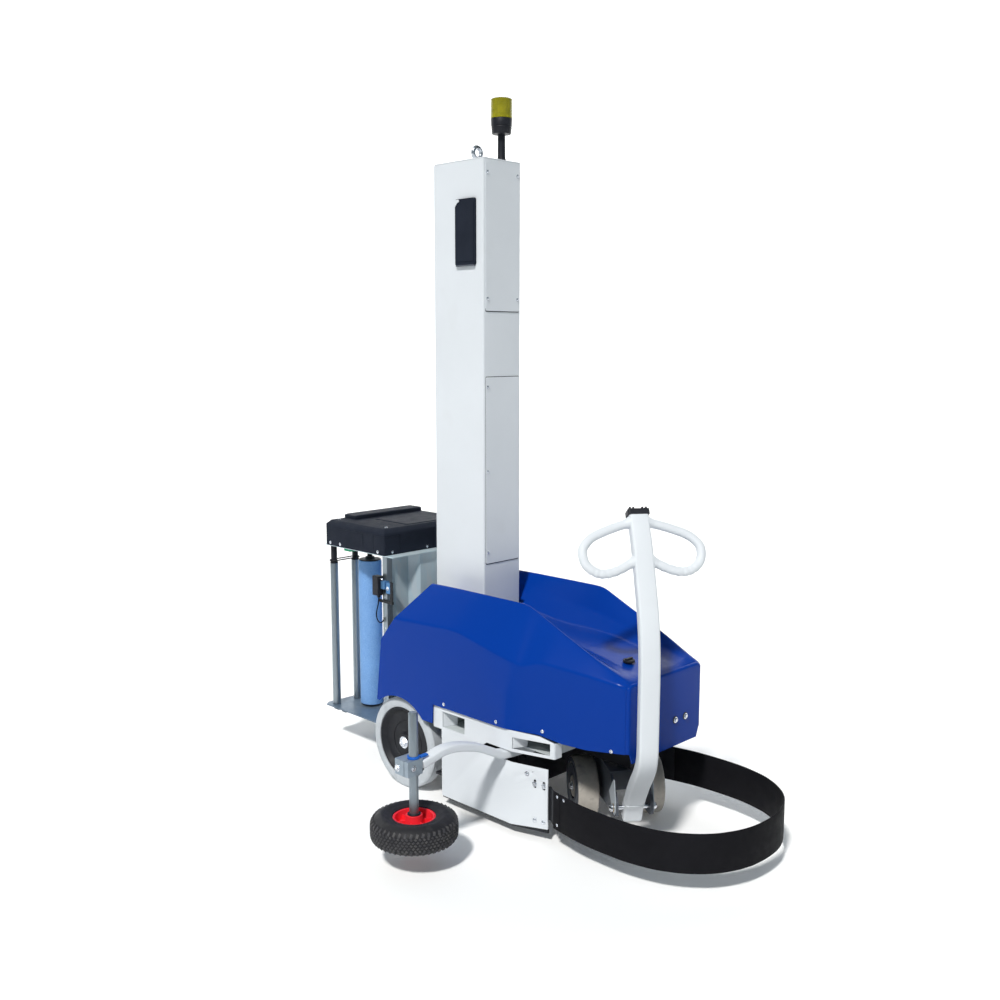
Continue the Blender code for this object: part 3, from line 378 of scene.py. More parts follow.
def hexhead(at, axis, r, h=None, turn=0.3):
    """A hexagon head on a washer: the head and the washer are two bodies."""
    h = h or 0.65 * r
    return merged([
        lathe(at, axis, band(-0.001, 0.0014, 0, 1.45 * r), 24),
        lathe(at, axis, [(0.0013, 0), (0.0013, r), (0.0013 + 0.75 * h, r), (0.0013 + h, 0.86 * r),
                         (0.0013 + h, 0.55 * r), (0.0013 + 0.85 * h, 0.5 * r), (0.0013 + 0.85 * h, 0)], 6, turn),
    ])


# Pieces -----------------------------------------------------------------------------------------
def placed(name, data):
    """A new object in the scene."""
    made = bpy.data.objects.new(name, data)
    scene.collection.objects.link(made)
    return made


def painted(made, material):
    """One material on the whole object."""
    made.data.materials.clear()
    made.data.materials.append(material)
    for polygon in made.data.polygons:
        polygon.material_index = 0


def mesh_of(name, shapes):
    vertices, faces = merged(shapes)
    data = bpy.data.meshes.new(name)
    data.from_pydata([tuple(np.array(v, float) + SHIFT) for v in vertices], [], faces)
    work = bmesh.new()
    work.from_mesh(data)
    bmesh.ops.recalc_face_normals(work, faces=work.faces)
    work.to_mesh(data)
    work.free()
    return data


def settle(made):
    """Applies the modifiers."""
    graph = bpy.context.evaluated_depsgraph_get()
    data = bpy.data.meshes.new_from_object(made.evaluated_get(graph))
    made.modifiers.clear()
    made.data = data


def carve(made, shapes, operation="DIFFERENCE"):
    others = []
    for shape in shapes:
        other = placed("carver", mesh_of("carver", [shape]))
        step = made.modifiers.new("carve", "BOOLEAN")
        step.operation, step.solver, step.object = operation, "EXACT", other
        others.append(other)
    settle(made)
    for other in others:
        bpy.data.objects.remove(other, do_unlink=True)


def piece(name, shapes, material, body, stands_for=(), bevel=0.0, segments=2, sharp=38.0,
          holes=(), data=None):
    """One visible piece: made from closed shapes, cut, rounded, painted, and riding on its body."""
    made = placed(name, data or mesh_of(name, shapes))
    if holes:
        carve(made, holes)
    painted(made, material)
    made.data.shade_smooth()
    if bevel:
        step = made.modifiers.new("rounding", "BEVEL")
        step.width, step.segments, step.limit_method = bevel, segments, "ANGLE"
        step.angle_limit = math.radians(sharp)
        step.use_clamp_overlap = True
        step = made.modifiers.new("shading", "WEIGHTED_NORMAL")
        step.keep_sharp = True
    else:
        made.data.set_sharp_from_angle(angle=math.radians(sharp))
    if isinstance(stands_for, str):
        stands_for = (stands_for,)
    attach(made, body)
    if stands_for:
        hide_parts(*stands_for)
    return made


Y_MINUS, Y_PLUS, X_PLUS, UP = (0, -1, 0), (0, 1, 0), (1, 0, 0), (0, 0, 1)

# Mast -------------------------------------------------------------------------------------------
WALL = 0.004
SLOT_HALF = 0.03
front = [p for p in rounded(-MAST_X, MAST_X, -MAST_Y, MAST_Y, 0.0075, 6) if p[0] > 0]
front = sorted(front, key=lambda p: math.atan2(p[1], p[0]))
mast_plan = front + [
    (-MAST_X, MAST_Y), (-MAST_X, SLOT_HALF), (-MAST_X + WALL, SLOT_HALF), (-MAST_X + WALL, MAST_Y - WALL),
    (MAST_X - WALL, MAST_Y - WALL), (MAST_X - WALL, -MAST_Y + WALL), (-MAST_X + WALL, -MAST_Y + WALL),
    (-MAST_X + WALL, -SLOT_HALF), (-MAST_X, -SLOT_HALF), (-MAST_X, -MAST_Y),
]
piece("mast_profile", [prism(mast_plan, MAST_FOOT_Z, MAST_TOP_Z)], WHITE, "chassis", "mast_column")
low, high = local("mast_top_cap")
piece("mast_lid", [prism(rounded(low[0], high[0], low[1], high[1], 0.008), low[2], high[2])], WHITE, "chassis",
      "mast_top_cap", bevel=0.0008)
screws = []
for node, rows in (("mast_upper_panel", (0.0, 1.0)), ("mast_lower_panel", (0.0, 0.5, 1.0))):
    low, high = local(node)
    outline = rounded(low[1], high[1], low[2], high[2], 0.004)
    piece(node.replace("panel", "plate"), [prism(outline, low[0], high[0], end)], WHITE, "chassis", node,
          bevel=0.0007)
    # A dark sheet behind each panel is painted shadow: a dark line under the panel's lower edge, and round the whole
    # lower panel.
    top_z = low[2] + 0.01 if node == "mast_upper_panel" else high[2] + 0.0022
    gasket = rounded(low[1] - 0.0008, high[1] + 0.0008, low[2] - 0.003, top_z, 0.0045)
    piece(node.replace("panel", "gasket"), [prism(gasket, MAST_X - 0.0005, MAST_X + 0.0008, end)], SEAM_AND_SHADE,
          "chassis")
    for share in rows:
        z = low[2] + (high[2] - low[2]) * share
        z = min(max(z, low[2] + 0.04), high[2] - 0.033)
        for y in (low[1] + 0.0075, high[1] - 0.0095)[:2 if node == "mast_upper_panel" else 1]:
            screws.append(dome((high[0] + 0.0006, y, z), X_PLUS, 0.0042))
piece("mast_panel_screws", screws, BOLT, "chassis")
low, high = local("mast_vent_cover")
vent = [prism(rounded(low[0], high[0], low[2], high[2], 0.007), low[1] + 0.002, high[1], side),
        prism(rounded(low[0] + 0.004, high[0] - 0.004, low[2] + 0.012, high[2] - 0.012, 0.004), low[1],
              low[1] + 0.0025, side)]
piece("mast_vent", vent, DARK_PLASTIC, "chassis", "mast_vent_cover", bevel=0.0006)
# A lip along the vent's lower edge, in a lighter grey than the vent: the lighter grey is a painted highlight on the
# lit edge.
piece("mast_vent_lip", [block(low[0] + 0.004, high[0] - 0.004, low[1] + 0.001, high[1], low[2] - 0.0035,
                              low[2] + 0.001)],
      GREY_STEEL, "chassis", bevel=0.0006)
# A small white patch at the top-left corner of the vent.
white_patch = [(low[0] + 0.001, high[2] - 0.005), (low[0] + 0.001, high[2] - 0.024), (low[0] + 0.007, high[2] - 0.02),
        (low[0] + 0.013, high[2] - 0.0125), (low[0] + 0.021, high[2] - 0.0085), (low[0] + 0.02, high[2] - 0.002),
        (low[0] + 0.004, high[2] - 0.002)]
piece("mast_vent_chip", [prism(white_patch, low[1] - 0.0004, low[1] + 0.004, side)], WHITE, "chassis",
      bevel=0.0003)

# Beacon and lifting eye ---------------------------------------------------------------------------
low, high = local("beacon_base")
bx, by = axis_of("beacon_base")
piece("beacon_stem", [lathe((bx, by, low[2]), UP, [
    (0, 0), (0, 0.0195), (0.001, 0.02), (0.005, 0.02), (0.006, 0.019), (0.012, 0.015), (0.018, 0.0132),
    (0.094, 0.0126), (0.0955, 0.031), (0.0975, 0.0325), (0.118, 0.0345), (0.119, 0.0338), (0.121, 0.0338),
    (0.122, 0.0352), (0.1445, 0.0362), (0.146, 0.0352), (0.146, 0)], 48)], TRIM, "chassis", "beacon_base")
low, high = local("beacon_lens")
height = high[2] - low[2]
ribs = [(0, 0), (0, 0.0366), (0.006, 0.0374), (0.008, 0.0362)]
for k in range(8):
    z = 0.01 + k * 0.0056
    ribs += [(z, 0.0372), (z + 0.0022, 0.0364), (z + 0.004, 0.0364)]
ribs += [(height - 0.0085, 0.0368), (height - 0.0045, 0.03), (height - 0.004, 0.015), (height - 0.004, 0)]
piece("beacon_dome", [lathe((bx, by, low[2]), UP, ribs, 48)], AMBER, "chassis", "beacon_lens", sharp=60)
piece("beacon_finial", [lathe((bx, by, high[2] - 0.0045), UP, [(0, 0), (0, 0.015), (0.002, 0.014), (0.0038, 0.006),
                                                               (0.0045, 0)], 32)],
      TRIM, "chassis")
low, high = local("lifting_eye")
ring = [(0.0, 0.0185 * math.cos(a), 2.192 + 0.0185 * math.sin(a)) for a in np.linspace(0, 2 * math.pi, 40, False)]
piece("eye_bolt", [
    lathe((0, 0, low[2]), UP, [(0, 0), (0, 0.01), (0.0012, 0.0108), (0.005, 0.0108), (0.0065, 0.0085),
                               (0.012, 0.0065), (0.019, 0.006), (0.019, 0)], 32),
    sweep(ring, circle(0.0078, 14), (1, 0, 0), closed=True)], BOLT, "chassis", "lifting_eye", sharp=60)

# Hood -------------------------------------------------------------------------------------------
HOOD_SECTIONS = [
    [(-0.202, 0.308, 0.298), (-0.175, 0.308, 0.523), (-0.1, 0.308, 0.612), (-0.035, 0.187, 0.727),
     (-0.035, 0.145, 0.7), (-0.035, 0.09, 0.664), (-0.035, 0.0, 0.664)],
    [(0.02, 0.308, 0.28), (0.02, 0.308, 0.45), (0.02, 0.308, 0.618), (0.03, 0.187, 0.729),
     (0.03, 0.145, 0.692), (0.03, 0.09, 0.654), (0.03, 0.0, 0.654)],
    [(0.09, 0.308, 0.28), (0.09, 0.308, 0.45), (0.1, 0.308, 0.621), (0.1, 0.187, 0.73),
     (0.1, 0.145, 0.684), (0.1, 0.09, 0.642), (0.1, 0.0, 0.642)],
    [(0.094, 0.308, 0.3465), (0.096, 0.308, 0.45), (0.214, 0.308, 0.626), (0.2, 0.187, 0.73),
     (0.2, 0.145, 0.672), (0.2, 0.093, 0.618), (0.2, 0.0, 0.618)],
    [(0.3, 0.308, 0.3465), (0.32, 0.308, 0.45), (0.34, 0.308, 0.597), (0.32, 0.187, 0.73),
     (0.33, 0.145, 0.655), (0.33, 0.093, 0.6), (0.33, 0.0, 0.6)],
    [(0.43, 0.308, 0.3465), (0.43, 0.308, 0.45), (0.464, 0.298, 0.567), (0.42, 0.187, 0.73),
     (0.45, 0.145, 0.642), (0.45, 0.093, 0.598), (0.45, 0.0, 0.598)],
    [(0.486, 0.291, 0.3465), (0.486, 0.291, 0.45), (0.49, 0.29, 0.56), (0.48, 0.187, 0.703),
     (0.52, 0.145, 0.629), (0.52, 0.093, 0.595), (0.52, 0.0, 0.595)],
    [(0.547, 0.273, 0.3465), (0.547, 0.273, 0.45), (0.547, 0.273, 0.581), (0.545, 0.187, 0.673),
     (0.58, 0.145, 0.614), (0.58, 0.093, 0.59), (0.58, 0.0, 0.59)],
    [(0.622, 0.25, 0.33), (0.615, 0.252, 0.44), (0.61, 0.2535, 0.572), (0.61, 0.187, 0.644),
     (0.645, 0.145, 0.598), (0.645, 0.093, 0.579), (0.645, 0.0, 0.579)],
    [(0.7, 0.227, 0.325), (0.7, 0.227, 0.43), (0.7, 0.227, 0.559), (0.7, 0.187, 0.603),
     (0.725, 0.145, 0.577), (0.725, 0.093, 0.566), (0.725, 0.0, 0.566)],
    [(0.831, 0.187, 0.333), (0.831, 0.187, 0.43), (0.831, 0.187, 0.538), (0.829, 0.17, 0.546),
     (0.829, 0.13, 0.546), (0.829, 0.085, 0.546), (0.829, 0.0, 0.546)],
]
HOOD_LOW_FRONT_Z = 0.3
HOOD_NOSE_X = 0.831
HOOD_NOSE_R = 0.009
HOOD_STEPS = 6        # rows between two sections
HOOD_PASSES = 4       # smoothing passes along the length
HOOD_EASING = (0, 0.0, 0.009, 0.009, 0.012, 0.014, 0)
HOOD_SHEET = 0.004
REAR_WHEEL = (-0.084, 0.161)


def softened(line, starts):
    """Corners of a line of points eased by curves; starts says how far from each corner its curve starts."""
    out = [line[0]]
    for k in range(1, len(line) - 1):
        here, d = line[k], starts[k]
        if not d:
            out.append(here)
            continue
        back, ahead = line[k - 1] - here, line[k + 1] - here
        a = here + unit(back) * min(d, 0.45 * np.linalg.norm(back))
        b = here + unit(ahead) * min(d, 0.45 * np.linalg.norm(ahead))
        for t in np.linspace(0, 1, 6):
            out.append(a * (1 - t) ** 2 + 2 * here * t * (1 - t) + b * t * t)
    return out + [line[-1]]


def hood_skin():
    """The hood's outer face: cross sections blended along the length, then turned down over the nose."""
    stations = np.array(HOOD_SECTIONS, float)
    rows = []
    for near, far in zip(stations[:-1], stations[1:]):
        rows += [near + (far - near) * k / HOOD_STEPS for k in range(HOOD_STEPS)]
    rows = np.array(rows + [stations[-1]])
    for _ in range(HOOD_PASSES):
        inner = rows.copy()
        inner[1:-1] = rows[:-2] * 0.25 + rows[1:-1] * 0.5 + rows[2:] * 0.25
        rows[1:-1, 2:] = inner[1:-1, 2:]
    halves = [softened(list(row), HOOD_EASING) for row in rows]
    tip = [np.array(q) for q in halves[-1]]
    out_2d = []
    for k in range(len(tip)):
        along = tip[min(k + 1, len(tip) - 1)] - tip[max(k - 1, 0)]
        out_2d.append(unit((0.0, along[2], -along[1])))
    halves.pop()
    last = halves.pop()
    halves.append(np.array(last) * 0.5 + np.array(tip) * 0.5)
    for turn in np.radians((0, 18, 36, 54, 72, 90)):
        ring = []
        for q, n in zip(tip, out_2d):
            sunk = q - n * HOOD_NOSE_R * (1 - math.cos(turn))
            sunk[0] = HOOD_NOSE_X - HOOD_NOSE_R * (1 - math.sin(turn))
            ring.append(sunk)
        ring[0][2] = tip[0][2]
        halves.append(ring)
    rows = []
    for half in halves:
        rows.append([(x, -y, z) for x, y, z in half] + [(x, y, z) for x, y, z in reversed(list(half)[:-1])])
    size = len(rows[0])
    vertices = [tuple(q) for row in rows for q in row]
    faces = [(i * size + k, (i + 1) * size + k, (i + 1) * size + k + 1, i * size + k + 1)
             for i in range(len(rows) - 1) for k in range(size - 1)]
    nose = list(range((len(rows) - 1) * size, len(rows) * size))
    for y in (0.166, -0.166):
        nose.append(len(vertices))
        vertices.append((HOOD_NOSE_X, y, HOOD_LOW_FRONT_Z))
    faces.append(tuple(nose))
    return vertices, faces


hood = placed("hood_skin", mesh_of("hood_skin", [hood_skin()]))
step = hood.modifiers.new("sheet", "SOLIDIFY")
step.thickness, step.offset, step.use_even_offset = HOOD_SHEET, -1.0, False
settle(hood)
carve(hood, [
    block(-0.4, 0.133, -0.103, 0.103, 0.5, 0.9),
    rod((REAR_WHEEL[0], -0.4, REAR_WHEEL[1]), (REAR_WHEEL[0], -0.2, REAR_WHEEL[1]), 0.172, 96),
    rod((REAR_WHEEL[0], 0.2, REAR_WHEEL[1]), (REAR_WHEEL[0], 0.4, REAR_WHEEL[1]), 0.172, 96),
])
painted(hood, BLUE)
hood.data.shade_smooth()
hood.data.set_sharp_from_angle(angle=math.radians(42))
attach(hood, "chassis")
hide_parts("hood")
low, high = local("hood_latch")
knob_z = low[2]
piece("hood_knob", [
    lathe((0.722, -0.05, knob_z), UP, [(0, 0), (0, 0.018), (0.001, 0.019), (0.007, 0.019), (0.008, 0.018),
                                   (0.008, 0.0), ], 40),
    prism(rounded(0.7175, 0.7265, -0.0665, -0.0335, 0.003), knob_z + 0.006, high[2])],
    TRIM, "latch", "hood_latch", bevel=0.0006)
NOSE_BOLT_Y, NOSE_BOLT_Z = (-0.102, -0.049, 0.049, 0.102), 0.385
seats = [lathe((0.8312, y, NOSE_BOLT_Z), X_PLUS, band(-0.001, 0.0004, 0, 0.0125), 24) for y in NOSE_BOLT_Y]
piece("hood_bolt_seats", seats, SEAM_AND_SHADE, "chassis")
hood_bolts = [hexhead((0.8325, y, NOSE_BOLT_Z), X_PLUS, 0.0065) for y in NOSE_BOLT_Y]
for sign in (-1, 1):
    for x, y, z in ((0.15, 0.3085, 0.36), (0.395, 0.3085, 0.36), (0.56, 0.27, 0.36), (0.78, 0.204, 0.336)):
        hood_bolts.append(dome((x, sign * y, z), (0.25 if x > 0.5 else 0, sign, 0), 0.0042))
piece("hood_bolts", hood_bolts, BOLT, "chassis")

# Side plates --------------------------------------------------------------------------------------
PLATE_OUT_Y, PLATE_T, BEND_X, BEND_SLOPE = 0.301, 0.004, 0.455, 0.2917
POCKETS = ((0.135, 0.242, 0.276, 0.33), (0.458, 0.586, 0.285, 0.323))
PLATE_EDGE = [
    (0.13, 0.035), (0.455, 0.035), (0.579, 0.043), (0.579, 0.239), (0.455, 0.241), (0.345, 0.244),
    (0.33, 0.248), (0.33, 0.266), (0.345, 0.2765), (0.455, 0.2755), (0.6, 0.2755), (0.6, 0.3265),
    (0.55, 0.3415), (0.455, 0.345), (0.09, 0.345), (0.09, 0.268), (0.13, 0.268),
]
PLATE_SLOTS = ((0.536, 0.185), (0.566, 0.183))


def flat_sheet(name, outline, holes, thickness, edge):
    """A sheet with holes and slightly rounded edges, lying in X and Y."""
    line = bpy.data.curves.new(name, "CURVE")
    line.dimensions = "2D"
    line.fill_mode = "BOTH"
    line.extrude = thickness / 2 - edge
    line.bevel_depth = edge
    line.bevel_resolution = 1
    line.offset = -edge
    for points in [outline] + list(holes):
        spline = line.splines.new("POLY")
        spline.points.add(len(points) - 1)
        for point, (a, b) in zip(spline.points, points):
            point.co = (a, b, 0, 1)
        spline.use_cyclic_u = True
    holder = placed(name, line)
    graph = bpy.context.evaluated_depsgraph_get()
    data = bpy.data.meshes.new_from_object(holder.evaluated_get(graph))
    bpy.data.objects.remove(holder, do_unlink=True)
    return data


def slot_hole(x, z, half_height, radius):
    return ([(x + radius * math.cos(a), z + half_height + radius * math.sin(a)) for a in np.linspace(0, math.pi, 9)]
            + [(x + radius * math.cos(a), z - half_height + radius * math.sin(a))
               for a in np.linspace(math.pi, 2 * math.pi, 9)])


def bent_in(x):
    """How far the plate has moved inward at x, past its bend."""
    return max(0.0, x - BEND_X) * BEND_SLOPE


for sign, word in ((-1, "right"), (1, "left")):
    holes = [[(x0, z0), (x1, z0), (x1, z1), (x0, z1)] for x0, x1, z0, z1 in POCKETS]
    holes += [slot_hole(x, z, 0.01, 0.0045) for x, z in PLATE_SLOTS]
    holes.append(slot_hole(0.528, 0.222, 0.0002, 0.0022))
    data = flat_sheet("plate_" + word, PLATE_EDGE, holes, PLATE_T, 0.0006)
    work = bmesh.new()
    work.from_mesh(data)
    everything = work.verts[:] + work.edges[:] + work.faces[:]
    bmesh.ops.bisect_plane(work, geom=everything, plane_co=(BEND_X, 0, 0), plane_no=(1, 0, 0))
    bmesh.ops.remove_doubles(work, verts=work.verts, dist=0.00002)
    for vertex in work.verts:
        a, b, c = vertex.co
        depth = PLATE_OUT_Y - PLATE_T / 2 + c - bent_in(a)
        vertex.co = Vector((a, sign * depth, b)) + Vector(SHIFT)
    bmesh.ops.recalc_face_normals(work, faces=work.faces)
    work.to_mesh(data)
    work.free()
    piece(f"side_panel_{word}", [], WHITE, "chassis", f"side_plate_{word}", data=data, sharp=30)
    # A thin black strip along the bottom edge of the plate.
    strip = [prism([(a, sign * (PLATE_OUT_Y - 0.0035 - bent_in(a))) for a in (0.131, BEND_X, 0.579)]
                   + [(a, sign * (PLATE_OUT_Y - 0.0085 - bent_in(a))) for a in (0.579, BEND_X, 0.131)], 0.0295, 0.042)]
    piece(f"skirt_strip_{word}", strip, BLACK_SHEET, "chassis", bevel=0.0005)
    lip = prism([(0.598, 0.2758), (0.602, 0.2758), (0.602, 0.3258), (0.598, 0.3258)], sign * 0.2254, sign * 0.2566,
                side)
    lead = []
    for x0, x1, z0, z1 in POCKETS:
        y_out, y_in = (sign * (PLATE_OUT_Y - depth - bent_in(x0)) for depth in (PLATE_T, 0.05))
        lead.append(prism([(x0 + 0.0005, y_out), (x0 + 0.002, y_out), (x0 + 0.022, y_in), (x0 + 0.0005, y_in)],
                          z0 + 0.0004, z1 - 0.0004))
    piece(f"pocket_lead_{word}", [lip] + lead, WHITE, "chassis", bevel=0.0006)
    heads = []
    for x, z, kind in ((0.51, 0.214, dome), (0.536, 0.185, hexhead), (0.566, 0.183, hexhead), (0.536, 0.066, dome),
                       (0.565, 0.064, dome)):
        heads.append(kind((x, sign * (PLATE_OUT_Y - bent_in(x)), z), (BEND_SLOPE, sign, 0), 0.0058))
    piece(f"side_panel_bolts_{word}", heads, BOLT, "chassis")

# Wheels -------------------------------------------------------------------------------------------
AXLE_R = 0.013
for sign, word in ((-1, "right"), (1, "left")):
    inner = (REAR_WHEEL[0], sign * 0.235, REAR_WHEEL[1])
    axis = (0, sign, 0)
    tread = [(0.008 + 0.039 * k / 12, 0.161 - (0.0006 if k % 3 == 1 else 0.0)) for k in range(13)]
    piece(f"rear_tyre_ring_{word}", [lathe(inner, axis, [
        (0.001, 0.1275), (0, 0.129), (0, 0.149), (0.0015, 0.1545), (0.004, 0.1585)] + tread + [
        (0.051, 0.1585), (0.0535, 0.1545), (0.055, 0.149), (0.055, 0.13), (0.0543, 0.1285), (0.053, 0.1275)], 128)],
        GREY_TYRE, f"rear_wheel_{word}", f"rear_tyre_{word}", sharp=30)
    piece(f"rear_disc_{word}", [lathe(inner, axis, [
        (0.004, AXLE_R), (0.004, 0.1268), (0.05, 0.1268), (0.0515, 0.1255), (0.0515, 0.1225), (0.049, 0.119),
        (0.038, 0.112), (0.035, 0.108), (0.035, 0.076), (0.0365, 0.075), (0.0365, 0.0715), (0.034, 0.07),
        (0.034, 0.038), (0.036, 0.034), (0.046, 0.031), (0.0495, 0.029), (0.05, 0.027), (0.05, AXLE_R)], 96)],
        BLACK_SHEET, f"rear_wheel_{word}", f"rear_hub_{word}", sharp=30)
    piece(f"rear_axle_bolt_{word}", [hexhead((REAR_WHEEL[0], sign * 0.2855, REAR_WHEEL[1]), axis, 0.0145, 0.009)],
          BOLT, f"rear_wheel_{word}")

STEER_X, STEER_YAW = 0.67, math.radians(-37.0)


def steer(u, w, z):
    c, s = math.cos(STEER_YAW), math.sin(STEER_YAW)
    return (STEER_X + u * c - w * s, u * s + w * c, z)


def steer_side(a, b, h):
    return steer(a, h, b)


LEFT = np.array(steer(0, 1, 0)) - np.array(steer(0, 0, 0))
AHEAD = np.array(steer(1, 0, 0)) - np.array(steer(0, 0, 0))
ROLLER_U, ROLLER_W, ROLLER_Z = -0.11, 0.11, 0.1
for sign, word in ((-1, "right"), (1, "left")):
    start = steer(ROLLER_U, sign * ROLLER_W - 0.035, ROLLER_Z)
    ringed = [(0, 0.0104), (0, 0.033), (0.001, 0.0345), (0.009, 0.0385), (0.01, 0.04), (0.01, 0.074),
              (0.009, 0.0755), (0.001, 0.079), (0, 0.0805), (0, 0.094), (0.0012, 0.0975), (0.004, 0.0995),
              (0.007, 0.1)]
    piece(f"front_roller_{word}", [lathe(start, LEFT, ringed + [(0.07 - a, r) for a, r in reversed(ringed)], 96)],
          WORN_TREAD, f"wheel_{word}", f"front_wheel_{word}", sharp=30)
    cheeks = []
    for face_w, ring in ((0.0357, band(0, 0.011, 0.041, 0.073)), (0.0355, band(0, 0.002, 0.079, 0.0942))):
        for facing in (1, -1):
            at = steer(ROLLER_U, sign * ROLLER_W - facing * face_w, ROLLER_Z)
            cheeks.append(lathe(at, facing * LEFT, ring, 64))
    piece(f"front_roller_cheeks_{word}", cheeks, GREY_STEEL, f"wheel_{word}", bevel=0.0005)
    piece(f"front_wheel_nut_{word}", [hexhead(steer(ROLLER_U, sign * 0.1452, ROLLER_Z), sign * LEFT, 0.011, 0.008)],
          BOLT, f"wheel_{word}")

# Tiller -------------------------------------------------------------------------------------------
POST_LINE = [
    (0.1, 0.075), (0.115, 0.115), (0.15, 0.17), (0.19, 0.222), (0.2365, 0.275), (0.264, 0.328),
    (0.267, 0.4), (0.2685, 0.5), (0.269, 0.59), (0.2625, 0.68), (0.2455, 0.755), (0.2265, 0.805),
    (0.1985, 0.87), (0.1662, 0.945), (0.114, 1.035),
]
POST_SPLIT = 12
line = curve_through([steer(u, 0, z) for u, z in POST_LINE], 6)
cut_at = POST_SPLIT * 6
post_section = rounded(-0.02, 0.02, -0.03, 0.03, 0.0075)
piece("tiller_tube", [sweep(line[:cut_at + 1], post_section, LEFT)], WHITE, "tiller", "tiller_post", sharp=50)
LOOP = [(0.004, 1.018), (0.05, 1.012), (0.108, 0.995), (0.15, 0.978), (0.176, 0.955), (0.182, 0.932),
        (0.174, 0.905), (0.15, 0.885), (0.12, 0.878), (0.08, 0.886), (0.034, 0.906), (0.004, 0.912)]
heights = [p[1] for p in POST_LINE]
outs = [p[0] for p in POST_LINE]


def grip_point(across, z):
    return np.array(steer(float(np.interp(min(z, 1.02), heights, outs)), across, z))


fall = float(np.interp(0.9, heights, outs) - np.interp(1.0, heights, outs))
grip_normal = unit(AHEAD * 0.1 + np.array((0, 0, 1.0)) * fall)


def grip_swell(t):
    """Finger bumps on the lower run of the loop."""
    return 1.0 + (0.055 * math.sin((t - 0.6) * 130) if 0.6 < t < 0.86 else 0.0)


handle_shapes = [sweep(line[cut_at:], post_section, LEFT)]
for sign in (-1, 1):
    loop = curve_through([grip_point(sign * a, z) for a, z in LOOP], 8)
    handle_shapes.append(sweep(loop, circle(0.014, 20), grip_normal, scale=grip_swell))
    for z in (1.018, 0.91):
        root, tip = grip_point(sign * 0.024, z), grip_point(sign * 0.05, z - (0.006 if z > 1 else 0.0108))
        handle_shapes.append(lathe(root, tip - root, [(0, 0), (0, 0.0205), (0.007, 0.018), (0.015, 0.0155),
                                                      (0.024, 0.0138), (0.024, 0)], 24))
piece("tiller_grip", handle_shapes, WHITE, "tiller", "tiller_handle", sharp=50)
top = np.array(line[-1])
rise = unit(line[-1] - line[-2])
across = unit(np.cross(rise, LEFT))
cap_shapes = [sweep([top + rise * 0.0006, top + rise * 0.018], rounded(-0.0225, 0.0225, -0.0335, 0.0335, 0.006), LEFT)]
for w in (-0.0255, -0.015, 0.013, 0.024):
    for d in (-0.012, 0.012):
        foot = top + rise * 0.015 + LEFT * w + across * d
        cap_shapes.append(sweep([foot, foot + rise * 0.0095], rounded(-0.0062, 0.0062, -0.003, 0.003, 0.0012, 2),
                                LEFT))
piece("tiller_crown", cap_shapes, TRIM, "tiller", "tiller_cap", bevel=0.0005)
piece("tiller_crown_light", [sweep([top + rise * 0.017, top + rise * 0.0195],
                                   rounded(-0.017, 0.017, -0.006, 0.006, 0.002),
                                   LEFT)], WHITE, "tiller")
socket_line = [np.array(steer(u, 0, z)) for u, z in ((0.1013, 0.0785), (0.115, 0.115), (0.1315, 0.141))]
piece("tiller_socket", [sweep(curve_through(socket_line, 4), rounded(-0.0207, 0.0207, -0.0307, 0.0307, 0.0075), LEFT)],
      WHITE, "tiller", bevel=0.0004)
HINGE_U, HINGE_Z = 0.115, 0.115
pin = []
for sign in (-1, 1):
    pin.append(lathe(steer(HINGE_U, sign * 0.0645, HINGE_Z), sign * LEFT,
                     [(0, 0), (0, 0.0112), (0.007, 0.0112), (0.0085, 0.01), (0.0115, 0.0075), (0.0125, 0.004),
                      (0.0125, 0)], 24))
pin.append(rod(steer(HINGE_U, -0.066, HINGE_Z), steer(HINGE_U, 0.066, HINGE_Z), 0.007))
piece("tiller_hinge_pin", pin, BOLT, "steering", "tiller_pin")
piece("tiller_bushes", [lathe(steer(HINGE_U, sign * 0.0608, HINGE_Z), sign * LEFT,
                              [(0, 0), (0, 0.014), (0.0022, 0.014), (0.0036, 0.0122), (0.0036, 0)], 24)
                        for sign in (-1, 1)], BRASS, "steering")
gusset = [(0.06, 0.15), (0.112, 0.206), (0.122, 0.206), (0.138, 0.142), (0.139, 0.108), (0.126, 0.095), (0.105, 0.098)]
piece("steering_gussets", [prism(gusset, sign * 0.0602, sign * 0.063, steer_side) for sign in (-1, 1)], LIGHT_STEEL,
      "steering", bevel=0.0005)

# Bumper -------------------------------------------------------------------------------------------
BUMPER_HALF = [
    (0.62, 0.2815), (0.714, 0.3), (0.77, 0.3055), (0.817, 0.307), (0.87, 0.3065),
    (0.918, 0.303), (0.965, 0.2945), (1.01, 0.282), (1.043, 0.267), (1.072, 0.25),
    (1.099, 0.2295), (1.124, 0.206), (1.147, 0.177), (1.166, 0.143), (1.183, 0.101),
    (1.193, 0.056),
]
BUMPER_LOW, BUMPER_HIGH = 0.067, 0.187
mid_z = (BUMPER_LOW + BUMPER_HIGH) / 2
band_line = curve_through([(x, -y, mid_z) for x, y in BUMPER_HALF] + [(1.1965, 0.0, mid_z)]
                          + [(x, y, mid_z) for x, y in reversed(BUMPER_HALF)], 5)
half = (BUMPER_HIGH - BUMPER_LOW) / 2
band_section = rounded(-0.0025, 0.0025, -half, half, 0.0022, 3)
piece("bumper_strip", [sweep(band_line, band_section)], RUBBER, "bumper", "bumper_band", sharp=60)
rivets, folds = [], []
